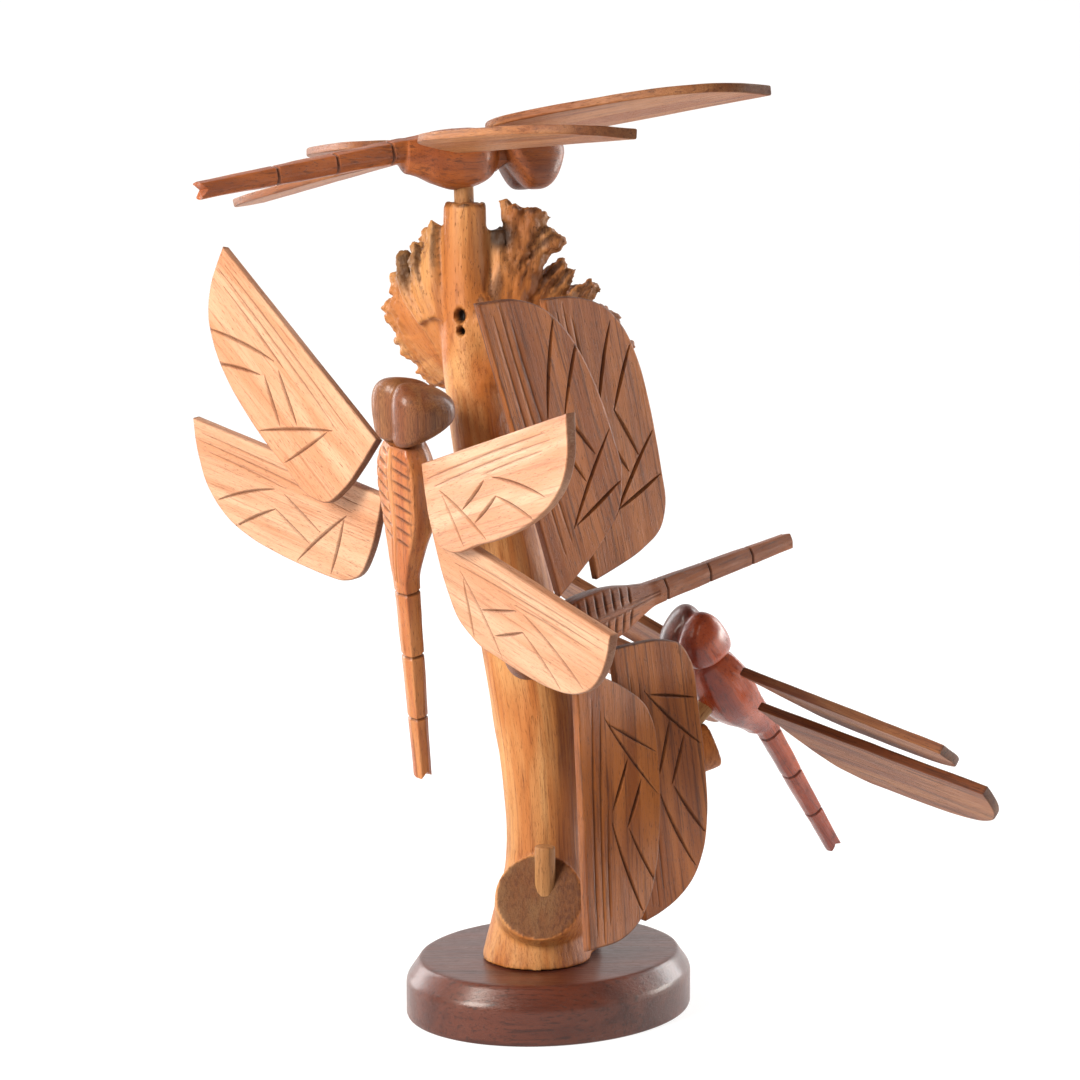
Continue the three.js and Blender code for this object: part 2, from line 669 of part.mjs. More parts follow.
const dowelSockets = [];
for (const fly of DRAGONFLIES) {
  const group = flyGroup(fly);
  const keepOut = bodyCore(fly, WING_GAP);
  addMesh(group, `dragonfly_${fly.name}_body`, bodySolid(fly), FINISH.body);
  for (const key of Object.keys(fly.wings)) {
    addMesh(group, `dragonfly_${fly.name}_${key}`, wingSolid(fly, key, keepOut), FINISH.wing);
  }
  addMesh(group, `dowel_${fly.name}`, toSolid(dowelPin(fly, DOWEL_RADIUS, 0)), FINISH.dowel);
  dowelSockets.push(moved(dowelPin(fly, DOWEL_RADIUS + GAP, SOCKET_FLOOR_GAP), group.matrixWorld));
  carving.add(group);
}

const [stubX, stubY, stubZ] = ROOT_STUB.at;
const stubFrom = [stubX, stubY, stubZ - ROOT_STUB.below];
const stubTo = [stubX, stubY, stubZ + ROOT_STUB.above];
const stubFloor = [stubX, stubY, stubFrom[2] - SOCKET_FLOOR_GAP];
const stubSocket = toSolid(pin(stubFloor, stubTo, ROOT_STUB.radius + GAP));

addMesh(carving, "plinth", plinth(), FINISH.plinth);
addMesh(carving, "branch", branch([...dowelSockets, stubSocket]), FINISH.branch);
addMesh(carving, "dowel_stub", toSolid(pin(stubFrom, stubTo, ROOT_STUB.radius)), FINISH.dowel);

export default carving;
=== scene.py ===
"""Looks of a carved ornament: four wooden dragonflies pegged to a branch with a ruffled burr.

The branch stands on an oval plinth.
Sizes are in millimetres in the frame of the solids, and become metres where a mesh is made.
Every mesh carries the vector "grain" (its first number runs along the fibres) and the shares "carved", "dark"
and "warm", which the wood materials read; on the branch, and on a head whose two lobes differ, they also hold
painted shade.
"""

import math

import bpy
import numpy as np
from mathutils import Matrix, Vector
from mathutils.bvhtree import BVHTree
from mathutils.geometry import delaunay_2d_cdt


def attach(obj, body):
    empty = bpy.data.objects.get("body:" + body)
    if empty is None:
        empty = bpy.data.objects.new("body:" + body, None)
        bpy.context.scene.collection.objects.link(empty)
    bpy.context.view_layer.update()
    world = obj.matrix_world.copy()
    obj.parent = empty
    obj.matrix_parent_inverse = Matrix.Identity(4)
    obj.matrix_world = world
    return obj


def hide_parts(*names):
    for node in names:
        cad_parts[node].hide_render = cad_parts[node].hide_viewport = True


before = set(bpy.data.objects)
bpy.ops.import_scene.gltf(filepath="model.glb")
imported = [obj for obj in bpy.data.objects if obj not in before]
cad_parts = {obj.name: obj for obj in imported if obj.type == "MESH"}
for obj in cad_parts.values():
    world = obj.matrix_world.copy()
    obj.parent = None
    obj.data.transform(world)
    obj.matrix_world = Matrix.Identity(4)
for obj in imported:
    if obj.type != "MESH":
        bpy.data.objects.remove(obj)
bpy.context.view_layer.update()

MM = 0.001

# Camera at the photograph's angle
CAMERA_AT = (-3.8, -1240.0, 391.0)
CAMERA_TILT = 81.0
CAMERA_LENS = 103.67
CAMERA_SENSOR = 36.0

# Plinth
PLINTH = {
    "half_length": 61.5, "half_width": 52.5, "turn": 36.0, "height": 23.5,
    "bevel_in": 6.0, "bevel_down": 8.5,
}
PLINTH_SIDES = 192

# Branch: points up its middle with the radius there
BRANCH_LINE = [
    ((-1, 5, 23.5), 23.0), ((-2, 5, 40), 20.0), ((-2, 5, 60), 16.5), ((-3.5, 5, 94), 15.6),
    ((-6.5, 5, 127), 17.2), ((-14, 5, 169), 16.2), ((-21, 5, 210), 14.6), ((-26.5, 6, 238), 13.4),
    ((-31, 7, 271), 12.0), ((-33.7, 7, 300), 9.3), ((-33.7, 7, 330), 8.4),
]
SIDE_BRANCH = [((0, 10, 78), 11.0), ((24, 22, 83), 10.0), ((48, 33, 94), 9.8), ((69, 37, 102), 9.6)]
STUMP = [((-2, 6, 34), 21.0), ((-4, -25, 53), 18.0)]
SKIRT = [((-5, -8, 23.8), 22.5), ((-5, -8, 50), 16.0)]
WEB = [((-27, 6, 258), 12.0), ((-21, 8, 288), 9.0), ((-19.5, 9, 303), 5.5), ((-21.5, 9.5, 319), 4.4)]
VOXEL = 0.92
SMOOTHING = 5
LIMB_STEP = 1.6

# Gap between branch and plinth
GAP = 0.3

# Places on the branch, as (x, z), where more painted shade is laid than the hidden sky alone gives: a gap
# beside the column's top and a fold among the fans at the far left
SHADED_GAP = (-20, 317)
SHADED_OUTER_FOLD = (-59, 304)

# Shade on the branch: how far away wood still shades a point, and how many rays look for it
SHADE = {"reach": 16.0, "rays": 14}

# Burr: a fluted bowl behind the column, its hollow side turned away from the viewer
BURR_CENTRE = np.array([-18.0, 4.0, 280.0])
BURR_DEPTH = 26.0
BURR_WALL = (15.0, 5.0)
BURR_RIM = [
    (0, 48), (10, 38), (30, 31), (55, 26), (85, 26), (105, 35), (118, 47.5), (128, 49), (140, 47), (152, 48),
    (165, 49), (177, 49), (185, 46), (200, 43), (214, 41), (228, 38), (250, 36), (275, 36), (300, 38),
    (325, 42), (342, 49), (352, 54), (360, 48),
]
# On its left side the bowl runs out of the column's front, from near to far behind the bowl's middle
TRUMPET = {"near": -8.0, "far": 26.0, "inner": 0.24}

# Fans of burr wood at the upper right and left: foot, bend and tip, with half width and thickness at each
FANS = [
    {
        "line": [(-14, 7, 282), (-13.5, 8.5, 309), (-9.5, 10, 327.5)],
        "half": (6.5, 4.6, 9.6), "thick": (6, 4.2, 4.2),
    },
    {
        "line": [(-11, 9.5, 294), (-5, 11, 310), (3, 12, 317)],
        "half": (5, 4.8, 5.2), "thick": (5, 4.2, 3.8),
    },
    {
        "line": [(-9, 11, 286), (-1, 13, 298), (6, 14, 306)],
        "half": (5, 3.2, 1.6), "thick": (5, 3, 1.4),
    },
    {
        "line": [(-9, 11, 281), (2, 14, 293), (9.5, 15, 302.5)],
        "half": (6, 3.4, 2.2), "thick": (5, 3, 1.8),
    },
    {
        "line": [(-9, 11, 275), (7, 14, 286), (19, 15.5, 296.5)],
        "half": (7, 5, 3.4), "thick": (6, 4.5, 2.6),
    },
    {
        "line": [(-41, 6, 284), (-45.5, 8, 304), (-45.5, 12, 321.5)],
        "half": (4.0, 5.2, 2.8), "thick": (4, 3.4, 2.0),
    },
    {
        "line": [(-45, 8, 284), (-52, 12, 301), (-53.5, 16, 314.5)],
        "half": (4.2, 4.0, 2.4), "thick": (4, 3.2, 1.8),
    },
    {
        "line": [(-49, 12, 282), (-57.5, 18, 297), (-59, 22, 309)],
        "half": (4.2, 4.2, 2.6), "thick": (4, 3.2, 1.8),
    },
]

# Knot holes in the column: place and radius
KNOT_HOLES = [((-35.7, -5.0, 285.5), 2.6), ((-35.5, -5.0, 279.3), 1.7)]
KNOT_DEPTH = 4.5

# Dragonfly body along +X from the tail's tip to the head, back upwards
TAIL_TIP = -126.0
TAIL_ROOT = -38.0
TAIL_HALF = (3.6, 5.0)
TAIL_FORK = 2.6
WHITTLED = 0.14
THORAX = [
    (-38, 5.2, 5.2, 5.2), (-27, 7.6, 6.4, 6.4), (-14, 11.2, 8.0, 8.8), (0, 13.0, 9.0, 10.0),
    (12, 12.0, 8.8, 9.0), (19, 8.6, 7.6, 7.2), (22, 6.4, 5.8, 5.8), (25, 6.6, 6.0, 6.0),
]
LIFT_FROM = 8.0
HEAD = {
    "length": 11.5, "half": 9.3, "up": 10.8, "apart": 5.4, "taper": 0.3, "start": 0.97,
    "valley": 1.1, "square": 2.7,
}
SECTION = [
    (0.12, 1), (0.96, 0.76), (0.96, -0.3), (0.6, -0.86), (0, -1), (-0.6, -0.86), (-0.96, -0.3), (-0.96, 0.76),
    (-0.12, 1),
]
SECTION_POINTS = 120
HATCH = {"count": 8, "start": -19.0, "end": 16.0, "width": 0.75, "depth": 0.8, "slant": 2.0}
HATCH_ENDS = ((0.17, 0.985), (0.9, 0.78))
RIDGE_GROOVE = {"at": 0.13, "width": 0.5, "depth": 0.4}

# Wings: where their leading corners meet the thorax on its left side, tenons and blanks
WING_ROOTS = {"fore": (15.0, 13.5, 2.0), "hind": (-8.0, 13.5, 0.0)}
TENON_RADIUS = 3.0
TENON_REACH = 8.0
WING_ROOT = [(0.02, 0), (0.025, 0.3), (0.04, 0.62), (0.075, 0.86), (0.14, 0.965)]
ROOT_LEAN = 0.115
WING_OUTLINE = {
    "fore": [(0.3, 0.995), (0.38, 1), (0.53, 0.975), (0.68, 0.91), (0.8, 0.8), (0.9, 0.62), (0.96, 0.38),
             (0.985, 0.16), (1, 0)],
    "hind": [(0.3, 0.995), (0.4, 1), (0.56, 0.99), (0.7, 0.95), (0.82, 0.85), (0.91, 0.67), (0.965, 0.42),
             (0.99, 0.18), (1, 0)],
}
WING_THICK = (4.0, 3.2)
WING_EDGE = 0.75
OUTLINE_STEP = 0.95
EDGE_WORN = 0.7
CORNER_CLEAR = 1.7
LATTICE = {"top": 1.25, "under": 2.4}

# Points of a face this close together are one point
POINTS_MEET = 1e-5

# Veins gouged in the upper face, each from (span, chord) to (span, chord) with its bulge in millimetres,
# and the long scores beside the leading edge
VEINS = [
    ((0.215, 0.39), (0.28, 0.93), 0.2), ((0.2, 0.33), (0.44, 0.94), -0.6), ((0.33, 0.58), (0.505, 0.37), 0.3),
    ((0.39, 0.74), (0.55, 0.54), 0.3), ((0.555, 0.55), (0.76, 0.88), -0.4), ((0.56, 0.36), (0.86, 0.7), -0.9),
]
VEIN = {"width": 2.0, "depth": 1.0}
VEIN_STRAY = 0.02
VEIN_SHIFTS = {("left", "right_forewing"): -0.09}
SCORES = [
    ((0.96, 0.19), (0.17, 0.27), 0.6), ((0.94, 0.11), (0.14, 0.17), 0.4), ((0.9, 0.27), (0.5, 0.31), 0.3),
]
SCORE = {"width": 1.5, "depth": 0.4}

DOWEL_RADIUS = 4.0
DOWEL_TOP = -5.0
ROOT_STUB = {"at": (-1.8, -21.0), "from": 51.0, "to": 73.0, "radius": 4.2}

# Where each dragonfly sits and how it is turned, as in the solids. head_dark darkens its left and right lobe;
# any difference is painted shade.
# Each wing has its sweep from straight ahead, lift, twist, span, chord and the lean of its root.
DRAGONFLIES = [
    {
        "name": "top", "at": (-37.4, 7.4, 350.9), "yaw": 27.4, "rise": 0.1, "roll": -3.2,
        "stretch": (0.75, 0.95, 0.95, 1.65), "waist": 0.895,
        "head_size": (1.12, 0.95, 0.95), "head_x": 32, "head_drop": 6, "head_dark": (0.4, 0.4),
        "dowel": {"x": 3, "length": 28},
        "tail": {"droop": 8.5, "turn": 9.3, "stretch": 1.05, "rise": -0.5, "rings": (-93.4, -67.3, -42.5)},
        "wings": {
            "right_forewing": (59.1, 8.4, 6.3, 124.6, 40.9, 0.8),
            "left_forewing": (87.1, -0.9, 2.5, 124, 41.2, 0.8),
            "right_hindwing": (83.2, 0.8, 6.3, 122, 35, 0.8),
            "left_hindwing": (101.1, -8.1, -8.8, 122.7, 34.5, 0.8),
        },
    },
    {
        "name": "left", "at": (-55.6, -24.6, 219.1), "yaw": -98.8, "rise": 77, "roll": 133.3,
        "stretch": (1, 1.08, 1, 1),
        "head_size": (1, 1.19, 1.14), "head_x": 32.5, "head_drop": 4, "head_dark": (0.75, 0.75),
        "waist": 1, "dowel": {"x": 0, "length": 47},
        "tail": {"droop": 2, "turn": -0.6, "stretch": 1, "rise": 3, "rings": (-99, -71, -43)},
        "wings": {
            "right_forewing": (64.7, 3.6, 5.3, 125.5, 37.4, -0.6),
            "left_forewing": (64.3, 0.8, 23, 129, 43, -0.25),
            "right_hindwing": (93.3, 0.7, 1.6, 126, 40, 1.15),
            "left_hindwing": (88.3, 8.3, 3.6, 128, 46, 0.6),
        },
    },
    {
        "name": "middle", "at": (15.6, -19.1, 165.3), "yaw": -140.3, "rise": -12.6, "roll": -84.9,
        "stretch": (0.92, 0.92, 0.92, 0.92), "head_size": (0.92, 0.92, 0.92), "head_x": 30.5, "head_drop": 3,
        "head_dark": (0.4, 0.4), "waist": 1, "dowel": {"x": 0, "length": 34},
        "tail": {"droop": 0, "turn": -2.5, "stretch": 0.87, "rise": 0, "rings": (-99, -71, -43)},
        "wings": {
            "right_forewing": (82.4, 6.6, 5.3, 129, 44.9, 1.15),
            "left_forewing": (65.2, 16.7, 0.9, 116, 42, 0.5),
            "right_hindwing": (89.6, 4.2, 3.5, 119, 42.4, 0.3),
            "left_hindwing": (85.8, -4.1, 5.1, 119.6, 40, 0),
        },
    },
    {
        "name": "right", "at": (74.1, 45.8, 126.8), "yaw": -127.3, "rise": 45.3, "roll": -15.7,
        "stretch": (0.97, 1.05, 0.97, 1.5), "head_size": (0.98, 0.98, 0.98), "head_x": 31.5, "head_drop": 1,
        "head_dark": (0.05, 0.85), "waist": 1, "dowel": {"x": 0, "length": 27},
        "tail": {"droop": 3, "turn": 0, "stretch": 1, "rise": 4.5, "rings": (-99, -71, -43)},
        "wings": {
            "right_forewing": (79, 0, 5, 124, 41, 1),
            "left_forewing": (82.9, 0.3, 17.4, 123, 40, 0.8),
            "right_hindwing": (94, 0, 0, 122, 41, 0.5),
            "left_hindwing": (86.2, 2.9, 6.9, 129, 43, 1.05),
        },
    },
]


# Numbers

def smoothstep(low, high, value):
    share = np.clip((value - low) / (high - low), 0, 1)
    return share * share * (3 - 2 * share)


def lattice_values(x, y, z, seed):
    mixed = (x * 374761393 + y * 668265263 + z * 2246822519 + seed * 3266489917) & 0xFFFFFFFF
    mixed = ((mixed ^ (mixed >> 13)) * 1274126177) & 0xFFFFFFFF
    return ((mixed ^ (mixed >> 16)) & 0xFFFF) / 32767.5 - 1


def ripple(points, size, seed, octaves=1):
    """Smooth noise from -1 to 1 at each point. size is the width of one bump, or three of them."""
    total = np.zeros(len(points))
    strength = 1.0
    scaled = np.asarray(points, float) / np.asarray(size, float)
    for octave in range(octaves):
        cell = np.floor(scaled).astype(np.int64)
        inside = scaled - cell
        inside = inside * inside * (3 - 2 * inside)
        value = np.zeros(len(scaled))
        for corner in range(8):
            step = np.array([corner & 1, (corner >> 1) & 1, corner >> 2])
            weight = np.prod(np.where(step, inside, 1 - inside), axis=1)
            x, y, z = (cell + step).T
            value += weight * lattice_values(x, y, z, seed + octave)
        total += strength * value
        strength *= 0.5
        scaled = scaled * 2.03
    return total


def curve_through(places, values, at):
    """Smooth values at the places asked for, through the given ones."""
    places = np.asarray(places, float)
    values = np.asarray(values, float)
    slopes = np.gradient(values, places, axis=0)
    index = np.clip(np.searchsorted(places, at) - 1, 0, len(places) - 2)
    width = places[index + 1] - places[index]
    share = np.clip((at - places[index]) / width, 0, 1)
    if values.ndim > 1:
        share = share[:, None]
        width = width[:, None]
    low, high = values[index], values[index + 1]
    rise, fall = slopes[index] * width, slopes[index + 1] * width
    cubic = 2 * low - 2 * high + rise + fall
    square = -3 * low + 3 * high - 2 * rise - fall
    return ((cubic * share + square) * share + rise) * share + low


def dense_line(points, step):
    """A smooth line through the points, with a point about every step."""
    points = np.asarray(points, float)
    gaps = np.linalg.norm(np.diff(points, axis=0), axis=1)
    places = np.concatenate([[0], np.cumsum(gaps)])
    count = max(2, int(round(places[-1] / step)))
    return curve_through(places, points, np.linspace(0, places[-1], count + 1))


# Meshes

def grid_faces(rings, sides, closed_ends=True):
    faces = []
    for ring in range(rings - 1):
        for side in range(sides):
            after = (side + 1) % sides
            a, b = ring * sides + side, ring * sides + after
            faces.append((a, b, b + sides, a + sides))
    if closed_ends:
        first, last = rings * sides, rings * sides + 1
        for side in range(sides):
            after = (side + 1) % sides
            faces.append((first, after, side))
            faces.append((last, (rings - 1) * sides + side, (rings - 1) * sides + after))
    return faces


def loft(rings):
    """Points and faces of a closed skin over rows of points, facing out."""
    rings = np.asarray(rings)
    count, sides = rings.shape[:2]
    ends = np.array([rings[0].mean(axis=0), rings[-1].mean(axis=0)])
    points = np.concatenate([rings.reshape(-1, 3), ends])
    faces = grid_faces(count, sides)
    corners = points[[[a, b, c] for a, b, c, *_ in faces]]
    volume = np.einsum("ij,ij->i", corners[:, 0], np.cross(corners[:, 1], corners[:, 2])).sum()
    if volume < 0:
        faces = [face[::-1] for face in faces]
    return points, faces


def limb(stations, step, sides, flat=None):
    """Rings of a limb along a smooth line.

    flat gives a half thickness at each station in place of the radius.
    """
    places = np.array([place for place, _ in stations], float)
    gaps = np.linalg.norm(np.diff(places, axis=0), axis=1)
    run = np.concatenate([[0], np.cumsum(gaps)])
    count = max(3, int(round(run[-1] / step)))
    at = np.linspace(0, run[-1], count + 1)
    middle = curve_through(run, places, at)
    wide = curve_through(run, [radius for _, radius in stations], at)
    deep = wide if flat is None else curve_through(run, flat, at)
    heading = np.gradient(middle, axis=0)
    heading /= np.linalg.norm(heading, axis=1)[:, None]
    across = np.cross([0, 1, 0], heading)
    across /= np.linalg.norm(across, axis=1)[:, None]
    inward = np.cross(heading, across)
    turn = np.linspace(0, 2 * math.pi, sides, endpoint=False)
    ring = np.cos(turn)[None, :, None] * wide[:, None, None] * across[:, None, :]
    return middle[:, None, :] + ring + np.sin(turn)[None, :, None] * deep[:, None, None] * inward[:, None, :]


def bare_mesh(name, points, faces):
    mesh = bpy.data.meshes.new(name)
    mesh.from_pydata((np.asarray(points) * MM).tolist(), [], faces, shade_flat=False)
    mesh.update()
    return mesh


def bare_object(name, points, faces):
    piece = bpy.data.objects.new(name, bare_mesh(name, points, faces))
    bpy.context.scene.collection.objects.link(piece)
    return piece


def read_mesh(mesh):
    """Points in millimetres, and faces, of a mesh."""
    points = np.zeros(len(mesh.vertices) * 3, np.float32)
    mesh.vertices.foreach_get("co", points)
    faces = [tuple(polygon.vertices) for polygon in mesh.polygons]
    return points.reshape(-1, 3).astype(float) / MM, faces


def point_normals(points, faces):
    mesh = bare_mesh("normals", points, faces)
    normals = np.zeros(len(points) * 3, np.float32)
    mesh.vertices.foreach_get("normal", normals)
    bpy.data.meshes.remove(mesh)
    return normals.reshape(-1, 3).astype(float)


def evaluated(piece):
    """Points and faces of a piece with its modifiers, and the piece is taken away."""
    bpy.context.view_layer.update()
    depsgraph = bpy.context.evaluated_depsgraph_get()
    mesh = bpy.data.meshes.new_from_object(piece.evaluated_get(depsgraph))
    result = read_mesh(mesh)
    bpy.data.objects.remove(piece)
    bpy.data.meshes.remove(mesh)
    return result


def combined(operation, one, other):
    """Points and faces of two solids joined (UNION) or of the first less the second (DIFFERENCE)."""
    piece = bare_object("first", *one)
    tool = bare_object("second", *other)
    boolean = piece.modifiers.new("combine", "BOOLEAN")
    boolean.operation = operation
    boolean.solver = "MANIFOLD"
    boolean.object = tool
    result = evaluated(piece)
    bpy.data.objects.remove(tool)
    return result


def remeshed(solids, voxel, smoothing):
    """One skin over several closed solids, with its edges worn soft."""
    points = []
    faces = []
    for solid_points, solid_faces in solids:
        start = len(points)
        points.extend(solid_points)
        faces.extend([tuple(index + start for index in face) for face in solid_faces])
    piece = bare_object("skin", points, faces)
    remesh = piece.modifiers.new("remesh", "REMESH")
    remesh.mode = "VOXEL"
    remesh.voxel_size = voxel * MM
    smooth = piece.modifiers.new("smooth", "SMOOTH")
    smooth.factor = 0.5
    smooth.iterations = smoothing
    return evaluated(piece)


def finish_piece(node, material, points, faces, grain, shares=None, place=None, crease=34.0):
    """Makes the piece that stands for a node of the solids. shares are numbers that its material reads."""
    name = f"{node}_wood"
    if place is not None:
        turn = np.array(place.to_3x3())
        points = points @ turn.T + np.array(place.translation)
    mesh = bare_mesh(name, points, faces)
    vector = mesh.attributes.new("grain", "FLOAT_VECTOR", "POINT")
    vector.data.foreach_set("vector", np.asarray(grain, np.float32).ravel())
    for share_name in ("carved", "dark", "warm"):
        values = np.zeros(len(mesh.vertices), np.float32)
        if shares and share_name in shares:
            values[:] = shares[share_name]
        mesh.attributes.new(share_name, "FLOAT", "POINT").data.foreach_set("value", values)
    mesh.materials.append(material)
    mesh.set_sharp_from_angle(angle=math.radians(crease))
    piece = bpy.data.objects.new(name, mesh)
    bpy.context.scene.collection.objects.link(piece)
    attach(piece, "root")
    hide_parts(node)


# Wood

# A wood in the key light looks this much darker than the lamps would make a white sheet
LIT_SHARE = 0.56

# Colour of painted shade in deep hollows and of darker end grain, and in metres how high fibres and bands
# stand
DEEP_SHADE_AND_END_GRAIN = (24, 14, 9)
FIBRE_HEIGHT = 0.00016
BAND_HEIGHT = 0.0004


class Shader:
    """Adds nodes to a material and links their inputs."""

    def __init__(self, name):
        self.material = bpy.data.materials.new(name)
        self.material.use_nodes = True
        self.tree = self.material.node_tree
        self.surface = self.tree.nodes["Principled BSDF"]

    def link(self, value, socket):
        if hasattr(value, "is_output"):
            self.tree.links.new(value, socket)
        else:
            socket.default_value = value

    def node(self, kind, settings=None, **inputs):
        made = self.tree.nodes.new(kind)
        for key, value in (settings or {}).items():
            setattr(made, key, value)
        for key, value in inputs.items():
            self.link(value, made.inputs[key.replace("_", " ")])
        return made

    def attribute(self, name, output):
        return self.node("ShaderNodeAttribute", {"attribute_name": name}).outputs[output]

    def stretched(self, vector, along, across):
        """The grain's place with so many features per millimetre along the fibres and across them."""
        scaled = self.node("ShaderNodeVectorMath", {"operation": "MULTIPLY"})
        self.link(vector, scaled.inputs[0])
        scaled.inputs[1].default_value = (along, across, across)
        return scaled.outputs["Vector"]

    def noise(self, vector, detail=3.0, roughness=0.5, distortion=0.0):
        made = self.node(
            "ShaderNodeTexNoise", None,
            Vector=vector, Scale=1.0, Detail=detail, Roughness=roughness, Distortion=distortion,
        )
        return made.outputs["Fac"]

    def remap(self, value, low, high, to_low=0.0, to_high=1.0):
        made = self.node("ShaderNodeMapRange", {"interpolation_type": "SMOOTHSTEP"})
        self.link(value, made.inputs["Value"])
        for socket, number in zip(("From Min", "From Max", "To Min", "To Max"), (low, high, to_low, to_high)):
            made.inputs[socket].default_value = number
        return made.outputs["Result"]

    def math(self, operation, one, two):
        made = self.node("ShaderNodeMath", {"operation": operation})
        self.link(one, made.inputs[0])
        self.link(two, made.inputs[1])
        return made.outputs["Value"]

    def mix(self, share, one, two):
        made = self.node("ShaderNodeMix", {"data_type": "RGBA"})
        self.link(share, made.inputs["Factor"])
        self.link(one, made.inputs["A"])
        self.link(two, made.inputs["B"])
        return made.outputs["Result"]

    def bump(self, height, distance, strength, normal=None):
        made = self.node("ShaderNodeBump", None, Height=height, Distance=distance, Strength=strength)
        if normal is not None:
            self.link(normal, made.inputs["Normal"])
        return made.outputs["Normal"]


def colour(red, green, blue):
    """How much a wood reflects whose colour on a screen, from 0 to 255, is this where the key light falls."""
    shown = np.array([red, green, blue]) / 255
    linear = np.where(shown <= 0.04045, shown / 12.92, ((shown + 0.055) / 1.055) ** 2.4)
    return (*(LIT_SHARE * linear).tolist(), 1.0)


def wood(name, light, middle, streak, groove, streaks, pores, roughness, coat=0.0, mottled=0.0):
    """Oiled wood: broad bands, dark streaks, fine fibres and short open pores, drawn out along the grain."""
    light, middle, streak, groove = (colour(*tint) for tint in (light, middle, streak, groove))
    shader = Shader(name)
    grain = shader.attribute("grain", "Vector")
    carved = shader.attribute("carved", "Fac")
    dark = shader.attribute("dark", "Fac")
    warm = shader.attribute("warm", "Fac")
    broad = shader.noise(shader.stretched(grain, 0.012, 0.11), detail=2.0, distortion=0.4)
    bands = shader.noise(shader.stretched(grain, 0.02, 0.75), detail=5.0, roughness=0.62, distortion=0.25)
    fibre = shader.noise(shader.stretched(grain, 0.11, 4.2), detail=3.0, roughness=0.6)
    pore = shader.noise(shader.stretched(grain, 0.26, 3.4), detail=2.0, roughness=0.7)
    blotch = shader.noise(shader.stretched(grain, 0.14, 0.2), detail=4.0, roughness=0.6)
    tone = shader.mix(shader.remap(broad, 0.34, 0.66), light, middle)
    # The warm share shifts towards the bands' darker colours; on the trunk's right side it is painted shade
    tone = shader.mix(warm, tone, shader.mix(shader.remap(bands, 0.3, 0.7), middle, streak))
    tone = shader.mix(shader.math("MULTIPLY", shader.remap(bands, 0.5, 0.68), streaks), tone, streak)
    tone = shader.mix(shader.math("MULTIPLY", shader.remap(blotch, 0.52, 0.72), mottled), tone, streak)
    tone = shader.mix(shader.math("MULTIPLY", shader.remap(fibre, 0.4, 0.7), 0.3), tone, middle)
    open_pores = shader.remap(pore, 0.6, 0.68)
    tone = shader.mix(shader.math("MULTIPLY", open_pores, pores), tone, groove)
    # The carved share darkens cuts towards the groove colour; on the branch and on unequal eye lobes part of
    # it is painted shade
    torn = shader.remap(fibre, 0.3, 0.7, 0.65, 1.0)
    tone = shader.mix(shader.math("MULTIPLY", carved, torn), tone, groove)
    # The dark share paints deep shade, and darker end grain, towards this colour
    tone = shader.mix(dark, tone, colour(*DEEP_SHADE_AND_END_GRAIN))
    shader.link(tone, shader.surface.inputs["Base Color"])
    rough = shader.remap(fibre, 0.3, 0.7, roughness - 0.07, roughness + 0.09)
    rough = shader.math("ADD", rough, shader.math("MULTIPLY", open_pores, 0.15))
    rough = shader.math("ADD", rough, shader.math("MULTIPLY", carved, 0.15))
    shader.link(rough, shader.surface.inputs["Roughness"])
    shader.surface.inputs["Specular IOR Level"].default_value = 0.28
    if coat:
        shader.surface.inputs["Coat Weight"].default_value = coat
        shader.surface.inputs["Coat Roughness"].default_value = 0.22
    normal = shader.bump(shader.math("SUBTRACT", fibre, open_pores), FIBRE_HEIGHT, 0.7)
    normal = shader.bump(bands, BAND_HEIGHT, 0.5, normal)
    shader.link(normal, shader.surface.inputs["Normal"])
    return shader.material


WING_WOOD = {
    "left": wood(
        "wing_wood_pale", (247, 195, 156), (228, 160, 116), (168, 98, 60), (96, 46, 24),
        streaks=0.5, pores=0.55, roughness=0.46,
    ),
    "middle": wood(
        "wing_wood_brown", (206, 122, 58), (166, 90, 38), (84, 40, 17), (46, 21, 10),
        streaks=0.75, pores=0.75, roughness=0.46,
    ),
    "right": wood(
        "wing_wood_dark", (206, 134, 80), (158, 84, 42), (72, 34, 18), (44, 21, 11),
        streaks=0.85, pores=0.75, roughness=0.46,
    ),
    "top": wood(
        "wing_wood_red", (230, 156, 98), (196, 116, 62), (110, 54, 27), (60, 27, 13),
        streaks=0.7, pores=0.7, roughness=0.44,
    ),
}
BODY_WOOD = {
    "left": wood(
        "body_wood_orange", (238, 158, 92), (206, 114, 56), (110, 50, 22), (50, 21, 10),
        streaks=0.6, pores=0.6, roughness=0.4, coat=0.25,
    ),
    "middle": wood(
        "body_wood_brown", (188, 108, 54), (144, 76, 36), (72, 34, 17), (34, 16, 9),
        streaks=0.7, pores=0.7, roughness=0.45, coat=0.1,
    ),
    "right": wood(
        "body_wood_red", (212, 92, 40), (158, 54, 28), (80, 24, 18), (44, 15, 14),
        streaks=0.55, pores=0.5, roughness=0.3, coat=0.5, mottled=0.5,
    ),
    "top": wood(
        "body_wood_chestnut", (206, 112, 48), (162, 80, 33), (80, 37, 16), (44, 20, 10),
        streaks=0.65, pores=0.65, roughness=0.42, coat=0.2,
    ),
}
DOWEL_WOOD = wood(
    "dowel_wood", (214, 160, 102), (190, 130, 76), (128, 78, 42), (84, 48, 26),
    streaks=0.6, pores=0.8, roughness=0.6,
)
BRANCH_WOOD = wood(
    "branch_wood", (244, 182, 116), (214, 128, 60), (146, 74, 30), (80, 38, 17),
    streaks=0.55, pores=0.5, roughness=0.5, mottled=0.15,
)
PLINTH_WOOD = wood(
    "plinth_wood", (118, 58, 38), (92, 40, 25), (52, 21, 14), (34, 14, 10),
    streaks=0.7, pores=0.6, roughness=0.36, coat=0.35,
)


# Plinth

